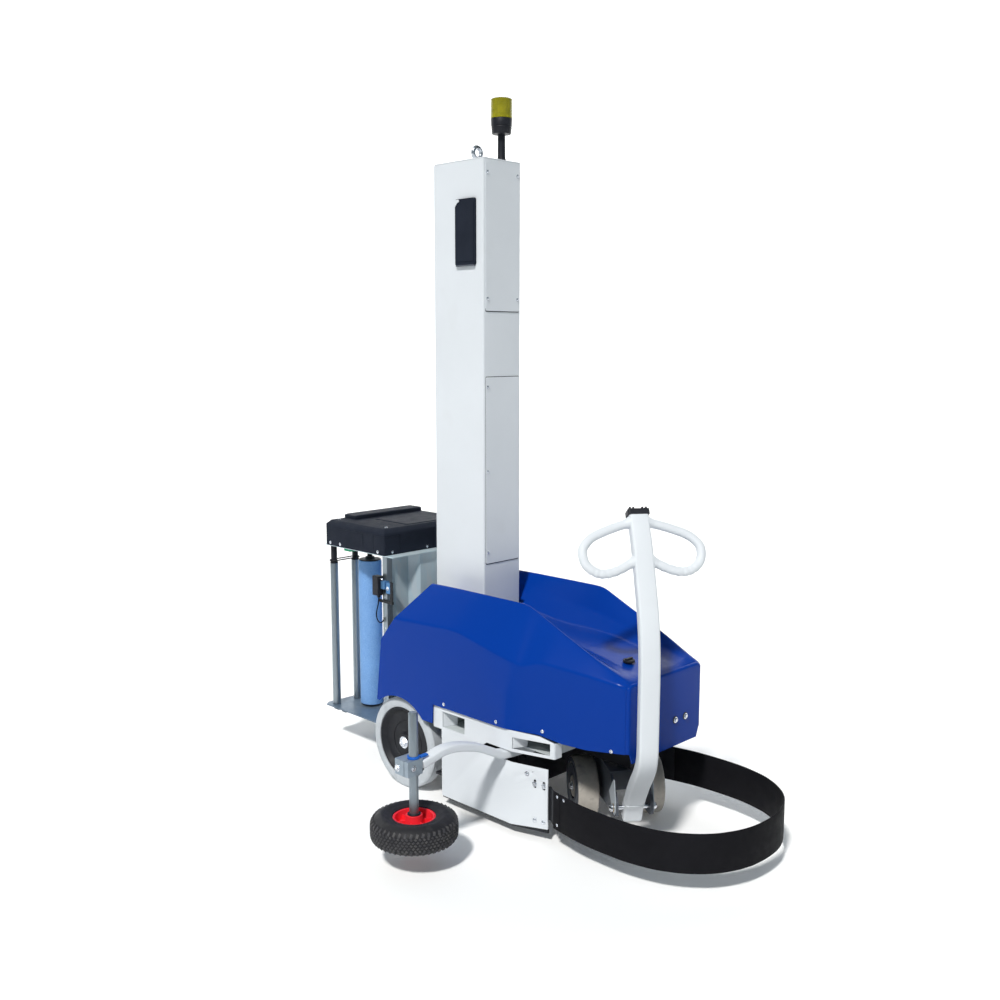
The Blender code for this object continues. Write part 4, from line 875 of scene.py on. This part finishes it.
for sign in (-1, 1):
    for x, y, z in ((0.64, 0.2855, 0.176), (0.64, 0.2855, 0.085), (0.672, 0.292, 0.176)):
        rivets.append(dome((x, sign * (y + 0.0024), z), (-0.2, sign, 0), 0.0036))
    foot = np.array((0.652, sign * 0.2884, BUMPER_LOW + 0.003))
    folds.append(sweep([foot, foot + (0, 0, 2 * half - 0.006)], rounded(-0.001, 0.001, -0.0034, 0.0034, 0.0008, 2),
                       (0.2, sign, 0)))
piece("bumper_rivets", rivets, BOLT, "bumper")
piece("bumper_folds", folds, RUBBER, "bumper")

# Feeler -------------------------------------------------------------------------------------------
FEELER, FEELER_PIVOT = (0.385, -0.646), (0.43, -0.2)
ARM = [(-0.18, 0.2585), (-0.3, 0.26), (-0.345, 0.276), (-0.41, 0.307), (-0.48, 0.326),
       (-0.535, 0.329), (-0.585, 0.317), (-0.6215, 0.3078)]


def arm_x(y):
    share = (y - FEELER_PIVOT[1]) / (FEELER[1] - FEELER_PIVOT[1])
    return FEELER_PIVOT[0] + (FEELER[0] - FEELER_PIVOT[0]) * share


arm_line = curve_through([(arm_x(y), y, z) for y, z in ARM], 6)
piece("feeler_beam", [sweep(arm_line, rounded(-0.013, 0.013, -0.02, 0.02, 0.006, 4), (1, 0, 0)),
                      lathe((*FEELER_PIVOT, 0.245), UP, [(0, 0.0085), (0, 0.025), (0.001, 0.026), (0.026, 0.026),
                                                        (0.027, 0.025), (0.027, 0.0085)], 48)],
      WHITE, "feeler", "feeler_arm", sharp=50)
low, high = local("feeler_clamp")
fx, fy = FEELER
TUBE_R = 0.0143
piece("feeler_block", [block(low[0], high[0], low[1], high[1], low[2], high[2])], ZINC_MID, "feeler", "feeler_clamp",
      bevel=0.0022, segments=3,
      holes=[rod((fx, fy, 0.2), (fx, fy, 0.4), TUBE_R + 0.0006, 48, 0.0001),
             block(fx - 0.0012, fx + 0.0012, low[1] - 0.01, fy, low[2] - 0.01, high[2] + 0.01)])
piece("feeler_block_bolts", [hexhead((low[0] + 0.012, low[1], (low[2] + high[2]) / 2 - 0.004), Y_MINUS, 0.0075),
                             hexhead((high[0], fy - 0.016, (low[2] + high[2]) / 2), X_PLUS, 0.0065)], BOLT,
      "feeler")
piece("feeler_collar", [
    lathe((fx, fy, high[2] + 0.0002), UP, [(0, TUBE_R + 0.0003), (0, 0.0185), (0.001, 0.0195), (0.007, 0.0195),
                                           (0.008, 0.0185), (0.008, TUBE_R + 0.0003)], 48),
    prism(rounded(fx + 0.004, fx + 0.0175, fy + 0.016, fy + 0.045, 0.003), high[2] + 0.0004, high[2] + 0.006)],
    BLUE_PART, "feeler", bevel=0.0006)
piece("feeler_mast", [lathe((fx, fy, 0.07), UP, [
    (0, 0), (0, 0.0072), (0.0008, 0.008), (0.08, 0.008), (0.08, 0.0136), (0.0807, TUBE_R), (0.3985, TUBE_R),
    (0.3995, 0.0139), (0.3995, 0.0128), (0.402, 0.012), (0.402, 0)], 48)], TUBE, "feeler_stem", "feeler_tube")
low, high = local("feeler_hub")
WHEEL_LIFT = 0.009
hub_z = low[2] + WHEEL_LIFT
hub_shape = lathe((fx, fy, hub_z), UP, [
    (0, 0.0085), (0, 0.025), (0.001, 0.026), (0.03, 0.026), (0.036, 0.052), (0.006, 0.057), (0.006, 0.0642),
    (0.0067, 0.065), (0.0722, 0.065), (0.073, 0.0642), (0.073, 0.059), (0.072, 0.0575), (0.048, 0.052),
    (0.048, 0.03), (0.079, 0.0252), (0.08, 0.024), (0.08, 0.0085)], 64)
HUB_HOLES_R = 0.04
hub_holes = []
for k in range(6):
    a = math.radians(30 + 60 * k)
    hx, hy = fx + HUB_HOLES_R * math.cos(a), fy + HUB_HOLES_R * math.sin(a)
    hub_holes.append(rod((hx, hy, 0.05), (hx, hy, 0.18), 0.0065, 20, 0.0001))
piece("feeler_rim", [hub_shape], RED, "feeler_wheel", "feeler_hub", bevel=0.0005, holes=hub_holes)
ribs = []
for k in range(6):
    a = math.radians(60 * k)
    c, s = math.cos(a), math.sin(a)
    ribs.append([(fx + r * c - w * s, fy + r * s + w * c) for r, w in ((0.026, -0.0016), (0.0535, -0.0016),
                                                                       (0.0535, 0.0016), (0.026, 0.0016))])
piece("feeler_rim_ribs", [prism(r, hub_z + 0.044, hub_z + 0.062) for r in ribs], RED, "feeler_wheel",
      bevel=0.0004)
piece("feeler_bearing", [lathe((fx, fy, hub_z + 0.0795), UP, [(0, 0.0085), (0, 0.0205), (0.003, 0.0205),
                                                              (0.004, 0.0195),
                                                             (0.004, 0.015), (0.003, 0.0145), (0.003, 0.0085)], 40)],
      TRIM, "feeler_wheel")
low, high = local("feeler_tyre")
tyre_z = low[2] + WHEEL_LIFT
TYRE = [
    (0.006, 0.0656), (0.0045, 0.072), (0.004, 0.073), (0.004, 0.08), (0.0015, 0.088), (0, 0.095),
    (0.0008, 0.105), (0.0045, 0.113), (0.014, 0.1262), (0.022, 0.1295), (0.03, 0.1305), (0.055, 0.1305),
    (0.063, 0.1295), (0.071, 0.1262), (0.0805, 0.113), (0.0842, 0.105), (0.085, 0.095), (0.0835, 0.088),
    (0.081, 0.08), (0.081, 0.073), (0.0805, 0.072), (0.079, 0.0656),
]
tyre_shapes = [lathe((fx, fy, tyre_z), UP, TYRE, 120)]
for base, outward in ((0.0842, UP), (0.0008, (0, 0, -1))):
    tyre_shapes.append(lathe((fx, fy, tyre_z + base), outward,
                             [(-0.002, 0.0995), (0.0, 0.0995), (0.0005, 0.1), (0.0005, 0.101), (0.0, 0.1015),
                              (-0.002, 0.1015)], 96))
piece("feeler_tyre_body", tyre_shapes, SIDEWALL, "feeler_wheel", sharp=32)
piece("feeler_shield", [lathe((fx, fy, hub_z), UP, band(0.003, 0.0052, 0.0262, 0.063), 64)],
      TRIM, "feeler_wheel")
tyre_shapes = []
outer_heights = [a for a, r in TYRE[7:15]]
outer_radii = [r for a, r in TYRE[7:15]]


def tread_point(angle, z, lift):
    r = float(np.interp(z, outer_heights, outer_radii))
    above, below = (float(np.interp(z + d, outer_heights, outer_radii)) for d in (0.001, -0.001))
    dr = (above - below) / 0.002
    n = unit((1.0, -dr))
    return (fx + (r + lift * n[0]) * math.cos(angle), fy + (r + lift * n[0]) * math.sin(angle),
            tyre_z + z + lift * n[1])


def lug(angle, z, length, width, slant, lift):
    """A tread lug: a small slanted block on the tyre's surface."""
    c, s = math.cos(slant), math.sin(slant)
    low_ring, high_ring = [], []
    for u, v in ((-1, -1), (1, -1), (1, 1), (-1, 1)):
        for ring_points, shrink, height in ((low_ring, 1.0, -0.0015), (high_ring, 0.8, lift)):
            a, b = u * length / 2 * shrink, v * width / 2 * shrink
            ring_points.append(tread_point(angle + (a * c - b * s) / 0.128, z + a * s + b * c, height))
    return loft([low_ring, high_ring])


CROWN_LUGS, SHOULDER_LUGS = 64, 46
for row, z in enumerate((0.025, 0.0335, 0.0425, 0.0515, 0.06)):
    for k in range(CROWN_LUGS):
        angle = 2 * math.pi * (k + 0.5 * (row % 2)) / CROWN_LUGS
        tyre_shapes.append(lug(angle, z, 0.0086, 0.0062, 0.72 if row % 2 else -0.72, 0.0026))
for z, slant in ((0.016, 0.35), (0.069, -0.35)):
    for k in range(SHOULDER_LUGS):
        tyre_shapes.append(lug(2 * math.pi * (k + 0.25) / SHOULDER_LUGS, z, 0.009, 0.012, slant, 0.003))
piece("feeler_tread", tyre_shapes, TREAD, "feeler_wheel", "feeler_tyre", sharp=32)

# Film carriage --------------------------------------------------------------------------------------
low, high = local("carriage_cover")
cx0, cx1, cy0, cy1 = -0.65, -0.2965, -0.187, 0.243
cz = low[2]


def cover_ring(inset, z, r=0.006):
    return [(a, b, z) for a, b in rounded(cx0 + inset, cx1 - inset, cy0 + inset, cy1 - inset,
                                          max(0.002, r - inset * 0.2), 4)]


groove = []
for a0, a1, z0, z1 in ((-0.362, -0.29, 0.8535, 0.8555), (-0.362, -0.36, 0.8, 0.8555), (-0.59, -0.42, 0.8535, 0.8555),
                       (-0.422, -0.42, 0.8, 0.8555)):
    groove.append(block(a0, a1, cy0 - 0.01, cy0 + 0.0015, z0, z1))
for a0, a1, z0, z1 in ((-0.195, -0.112, 0.8535, 0.8555), (-0.114, -0.112, 0.8, 0.8555)):
    groove.append(block(cx1 - 0.0015, cx1 + 0.01, a0, a1, z0, z1))
piece("carriage_hood", [loft([cover_ring(0, cz), cover_ring(0, 0.8655), cover_ring(0.0012, 0.868),
                                      cover_ring(0.015, 0.8812), cover_ring(0.017, 0.882)])],
              DARK_PLASTIC, "carriage", "carriage_cover", sharp=34,
              holes=[block(cx0 + 0.004, cx1 - 0.004, cy0 + 0.004, cy1 - 0.004, 0.7, 0.864)] + groove)
def pad(base, foot, shoulder, crown, top):
    """A raised pad: its foot and shoulder share an outline, and the top is a little smaller."""
    return loft([[(a, b, z) for a, b in rounded(*outline)]
                 for outline, z in ((base, foot), (base, shoulder), (crown, top))])


pads = [
    pad((-0.632, -0.56, -0.11, 0.226, 0.004), 0.879, 0.895, (-0.628, -0.564, -0.1, 0.222, 0.003), 0.898),
    pad((-0.525, -0.33, -0.05, 0.205, 0.01), 0.88, 0.8835, (-0.523, -0.332, -0.048, 0.203, 0.009), 0.8845),
]
piece("carriage_hood_ribs", pads, DARK_PLASTIC, "carriage", bevel=0.0006)
piece("carriage_hood_box", [block(-0.2985, -0.19, 0.06, 0.225, cz, 0.8655)], DARK_PLASTIC, "carriage",
      bevel=0.003, segments=3,
      holes=[block(-0.305, -0.194, 0.064, 0.221, 0.7, 0.862)])
cover_bolts = []
for x in (-0.62, -0.56, -0.335):
    cover_bolts.append(dome((x, cy0 - 0.0002, 0.796), Y_MINUS, 0.0044))
for y in (-0.15, 0.02, 0.215):
    cover_bolts.append(dome((cx1 + 0.0002, y, 0.796), X_PLUS, 0.004))
for x, y in ((-0.61, -0.15), (-0.33, -0.15), (-0.33, 0.215)):
    cover_bolts.append(dome((x, y, 0.8822), UP, 0.0048))
BACK_PLATE_BOLTS = ((0.025, (0.753, 0.722, 0.673)), (-0.105, (0.52, 0.4, 0.28)),
                    (0.12, (0.735, 0.56, 0.38, 0.2)))
for y, heights_z in BACK_PLATE_BOLTS:
    cover_bolts += [hexhead((-0.2958, y, z), X_PLUS, 0.0046) for z in heights_z]
piece("carriage_bolts", cover_bolts, BOLT, "carriage")
tube_z = local("guide_tube_outer")[0][2]
for word, body in (("outer", "tube_outer"), ("inner", "tube_inner")):
    tx, ty = axis_of("guide_tube_" + word)
    piece(f"guide_sleeve_{word}", [lathe((tx, ty, tube_z), UP, [
        (0, 0), (0, 0.014), (0.001, 0.0155), (0.562, 0.0155), (0.565, 0.0148), (0.566, 0.013), (0.566, 0)], 48)],
        TUBE, body, f"guide_tube_{word}")
    piece(f"guide_neck_{word}", [lathe((tx, ty, tube_z), UP, [
        (0.5655, 0), (0.5655, 0.015), (0.568, 0.0152), (0.572, 0.014), (0.573, 0.0118), (0.6385, 0.0118),
        (0.6385, 0)], 40)],
        TRIM, body)
BELT_R, BELT_Z = 0.0158, 0.719
belt = []
for word, start in (("inner", 0), ("outer", 180)):
    tx, ty = axis_of("guide_tube_" + word)
    for k in range(17):
        a = math.radians(start + 11.25 * k)
        belt.append((tx + BELT_R * math.cos(a), ty + BELT_R * math.sin(a), BELT_Z))
piece("guide_belt", [sweep(belt, circle(0.0024, 12), closed=True)], BELT, "carriage", "guide_tube_belt", sharp=60)
FILM_ROLLER_R = 0.045
for word, body in (("front", "roller_front"), ("rear", "roller_rear")):
    low, high = local("prestretch_roller_" + word)
    rx, ry = axis_of("prestretch_roller_" + word)
    tall = high[2] - low[2]
    r = FILM_ROLLER_R
    piece(f"film_roller_{word}", [lathe((rx, ry, low[2]), UP, [
        (0.008, 0), (0.008, r - 0.002), (0.01, r), (tall - 0.062, r), (tall - 0.06, r - 0.002),
        (tall - 0.06, 0)], 72)],
        ROLLER, body, f"prestretch_roller_{word}")
    piece(f"film_roller_journals_{word}", [
        rod((rx, ry, low[2]), (rx, ry, low[2] + 0.0095), 0.012),
        lathe((rx, ry, low[2] + 0.0062), UP, [(0, 0), (0, r - 0.001), (0.002, r - 0.001), (0.002, 0)], 48),
        rod((rx, ry, high[2] - 0.061), (rx, ry, high[2]), 0.01),
        lathe((rx, ry, high[2] - 0.0602), UP, [(0, 0), (0, r - 0.003), (0.004, r - 0.003), (0.006, 0.02),
                                               (0.014, 0.016),
                                              (0.014, 0)], 48)],
        BLACK_SHEET, body)
low, high = local("film_mandrel")
mx, my = axis_of("film_mandrel")
fins = [prism([(mx + c * math.cos(a) - s * math.sin(a), my + c * math.sin(a) + s * math.cos(a))
               for c, s in ((0.03, -0.002), (0.0385, -0.002), (0.0385, 0.002),
                            (0.03, 0.002))], low[2] + 0.012, low[2] + 0.13)
        for a in (math.radians(60 * k) for k in range(6))]
piece("film_core_chuck", [lathe((mx, my, low[2]), UP, [
    (0, 0), (0, 0.0612), (0.001, 0.062), (0.009, 0.062), (0.01, 0.061), (0.01, 0.0365), (0.135, 0.0355), (0.15, 0.024),
    (0.16, 0.013), (0.165, 0.012), (high[2] - low[2], 0.012), (high[2] - low[2], 0)], 64)] + fins, DARK_PLASTIC,
    "mandrel", "film_mandrel", bevel=0.0004)
low, high = local("photocell")
pc = (low + high) / 2
piece("sensor_body", [
    prism(rounded(low[0] - 0.006, high[0] + 0.002, low[1] - 0.005, high[1], 0.003), 0.64, 0.711),
    prism(rounded(low[0] - 0.003, high[0], low[1] - 0.002, high[1] - 0.003, 0.002), 0.7105, 0.7122),
    rod((pc[0], pc[1], 0.63), (pc[0], pc[1], 0.65), 0.006)], TRIM, "carriage", "photocell", bevel=0.0007)
piece("sensor_lens", [prism(rounded(-0.006, 0.006, 0.655, 0.692, 0.002), low[0] - 0.0066, low[0] - 0.004,
                            lambda a, b, h: (h, pc[1] + a, b))], RED, "carriage", bevel=0.0003)
piece("sensor_clamp", [
    prism(rounded(-0.312, -0.286, -0.199, -0.174, 0.003), 0.665, 0.695),
    prism(rounded(-0.286, -0.26, -0.193, -0.179, 0.003), 0.65, 0.69)], BLUE_STEEL, "carriage",
    bevel=0.0008)
piece("sensor_bracket", [
    prism(rounded(-0.262, -0.248, -0.193, -0.189, 0.001), 0.615, 0.695),
    prism(rounded(-0.33, -0.248, -0.1935, -0.187, 0.001), 0.613, 0.623)], TRIM, "carriage",
    bevel=0.0005)
piece("sensor_bolts", [hexhead((-0.273, -0.1932, 0.67), Y_MINUS, 0.0048), hexhead((-0.299, -0.1992, 0.701), Y_MINUS,
                                                                                  0.0036),
                       dome((-0.3205, -0.2082, 0.65), Y_MINUS, 0.0022)], BOLT, "carriage")
CABLE = [(-0.3205, -0.197, 0.629), (-0.323, -0.1985, 0.605), (-0.329, -0.201, 0.58),
         (-0.33, -0.202, 0.56), (-0.324, -0.2, 0.543), (-0.314, -0.196, 0.536),
         (-0.305, -0.192, 0.542), (-0.3, -0.1895, 0.556)]
cable_line = curve_through(CABLE, 4)
piece("sensor_cable", [sweep(cable_line, circle(0.0022, 12), (0, 1, 0))], RUBBER, "carriage", "photocell_cable",
      sharp=60)
piece("base_gland", [prism([(-0.3, 0.1425), (-0.262, 0.1425), (-0.262, 0.152), (-0.285, 0.162), (-0.3, 0.15)], -0.18,
                           -0.15, side)],
      GREEN, "carriage", bevel=0.0008)
piece("drive_terminal", [prism(rounded(-0.6, -0.56, -0.14, -0.1, 0.003), 0.76, 0.7816)], GREEN, "carriage",
      bevel=0.001)
piece("base_brackets", [block(-0.64, -0.61, -0.172, -0.13, 0.126, 0.138),
                        block(-0.58, -0.555, -0.18, -0.15, 0.13, 0.138),
                        rod((-0.6445, -0.154, 0.126), (-0.6445, -0.154, 0.1385), 0.009),
                        rod((-0.6445, -0.0514, 0.126), (-0.6445, -0.0514, 0.1385), 0.009)],
      GREY_STEEL, "carriage", bevel=0.0006)

# Control panel --------------------------------------------------------------------------------------
low, high = local("control_panel")
piece("panel_case", [prism(rounded(low[0], high[0], low[2], high[2], 0.008), low[1], high[1], side)], DARK_PLASTIC,
      "chassis",
      "control_panel", bevel=0.002, segments=3,
      holes=[block(-0.078, 0.018, 0.156, 0.17, 0.93, 1.06), rod((0.0, 0.14, 0.85), (0.0, 0.17, 0.85), 0.0105, 32,
                                                                0.0001)])
piece("panel_screen", [prism(rounded(-0.0775, 0.0175, 0.9305, 1.0595, 0.003), 0.155, 0.1568, side)], SCREEN, "chassis",
      bevel=0.0003)
keys = [prism(rounded(x - 0.008, x + 0.008, z - 0.006, z + 0.006, 0.0025), 0.1575, 0.1602, side)
        for x in (-0.066, -0.042) for z in (0.9, 0.878, 0.856)]
piece("panel_keys", keys, LIGHT_STEEL, "chassis", bevel=0.0008)
piece("stop_collar", [lathe((0.0, 0.1578, 0.85), Y_PLUS, [
    (0, 0.0108), (0, 0.024), (0.0008, 0.025), (0.002, 0.024), (0.002, 0.0108)], 48)], YELLOW, "chassis")
piece("stop_mushroom", [lathe((0.0, 0.148, 0.85), Y_PLUS, [
    (0, 0), (0, 0.0092), (0.0006, 0.0098), (0.018, 0.0098), (0.0182, 0.0185), (0.019, 0.02), (0.026, 0.02),
    (0.029, 0.018), (0.0312, 0.012), (0.032, 0.005), (0.032, 0)], 48)], RED, "stop_button", "emergency_stop", sharp=50)

# CAD nodes that stay --------------------------------------------------------------------------------
KEPT = {
    "battery_pack": BATTERY, "bumper_bracket_left": BLACK_SHEET, "bumper_bracket_right": BLACK_SHEET,
    # The carriage base plate takes the darker zinc copy as painted shade.
    "carriage_back_plate": ZINC, "carriage_base_plate": ZINC_SHADED, "carriage_slide_block": GREY_STEEL,
    "carriage_strut": TUBE, "carriage_top_plate": ZINC, "chassis_frame": BLACK_SHEET, "drive_unit": GREY_STEEL,
    "fork_pocket_front": POCKET, "fork_pocket_rear": POCKET, "front_axle": STEEL, "lift_belt": BELT,
    "lift_guide_rail": STEEL, "lift_motor": BLACK_SHEET, "lift_pulley_bottom": STEEL, "lift_pulley_top": STEEL,
    "prestretch_motor": GREY_STEEL, "rear_axle": STEEL, "steer_fork": GREY_STEEL,
}
for name, material in KEPT.items():
    painted(NODES[name], material)

# Camera, light and floor ------------------------------------------------------------------------------
EYE = Vector((2.784, -2.711, 1.55)) + Vector(SHIFT)
LOOK = Vector((-0.6955, 0.7049, -0.1395)).normalized()
lens = bpy.data.cameras.new("camera")
LENS_MM, SENSOR_MM = 39.85, 36.0
lens.lens, lens.sensor_width = LENS_MM, SENSOR_MM
camera = placed("camera", lens)
camera.location = EYE
camera.rotation_euler = LOOK.to_track_quat("-Z", "Y").to_euler()
scene.camera = camera

sun_data = bpy.data.lights.new("key", "SUN")
SUN_STRENGTH, SUN_WIDTH, SUN_TRAVEL = 3.3, math.radians(6), Vector((-0.24, 0.59, -0.77))
sun_data.energy, sun_data.angle, sun_data.color = SUN_STRENGTH, SUN_WIDTH, (1.0, 0.985, 0.955)
sun = placed("key", sun_data)
sun.rotation_euler = SUN_TRAVEL.to_track_quat("-Z", "Y").to_euler()
SKY_STRENGTH = 0.24
world = bpy.data.worlds.new("studio")
world.use_nodes = True
sky = world.node_tree.nodes["Background"]
sky.inputs["Color"].default_value = (0.74, 0.9, 1.0, 1.0)
sky.inputs["Strength"].default_value = SKY_STRENGTH
scene.world = world
scene.view_settings.view_transform = "Standard"

floor_rows = [(12.0, 0.0), (-4.0, 0.0), (-5.5, 0.0), (-6.4, 0.25), (-7.0, 0.9), (-7.2, 1.8), (-7.2, 9.0)]
toward = Vector((-LOOK.x, -LOOK.y, 0)).normalized()
aside = Vector((toward.y, -toward.x, 0))
FLOOR_HALF = 14.0
floor_points = [tuple(toward * d + aside * w + Vector((0, 0, z - 0.0005)))
                for d, z in floor_rows for w in (-FLOOR_HALF, FLOOR_HALF)]
floor_data = bpy.data.meshes.new("floor")
floor_data.from_pydata(floor_points, [], [(2 * k, 2 * k + 1, 2 * k + 3, 2 * k + 2)
                                          for k in range(len(floor_rows) - 1)])
floor = placed("floor", floor_data)
floor_data.shade_smooth()
pale = bpy.data.materials.new("pale_floor")
pale.use_nodes = True
tree = pale.node_tree
surface = tree.nodes["Principled BSDF"]
surface.inputs["Base Color"].default_value = (0.92, 0.92, 0.92, 1.0)
surface.inputs["Roughness"].default_value = 0.9
surface.inputs["Specular IOR Level"].default_value = 0.1
surface.inputs["Emission Color"].default_value = (1.0, 1.0, 1.0, 1.0)
where = tree.nodes.new("ShaderNodeTexCoord")
parts = tree.nodes.new("ShaderNodeSeparateXYZ")
rise_map = tree.nodes.new("ShaderNodeMapRange")
for key, number in (("From Min", 0.0), ("From Max", 1.2), ("To Min", 0.05), ("To Max", 0.48)):
    rise_map.inputs[key].default_value = number
tree.links.new(where.outputs["Object"], parts.inputs[0])
tree.links.new(parts.outputs["Z"], rise_map.inputs["Value"])
tree.links.new(rise_map.outputs[0], surface.inputs["Emission Strength"])
floor_data.materials.append(pale)
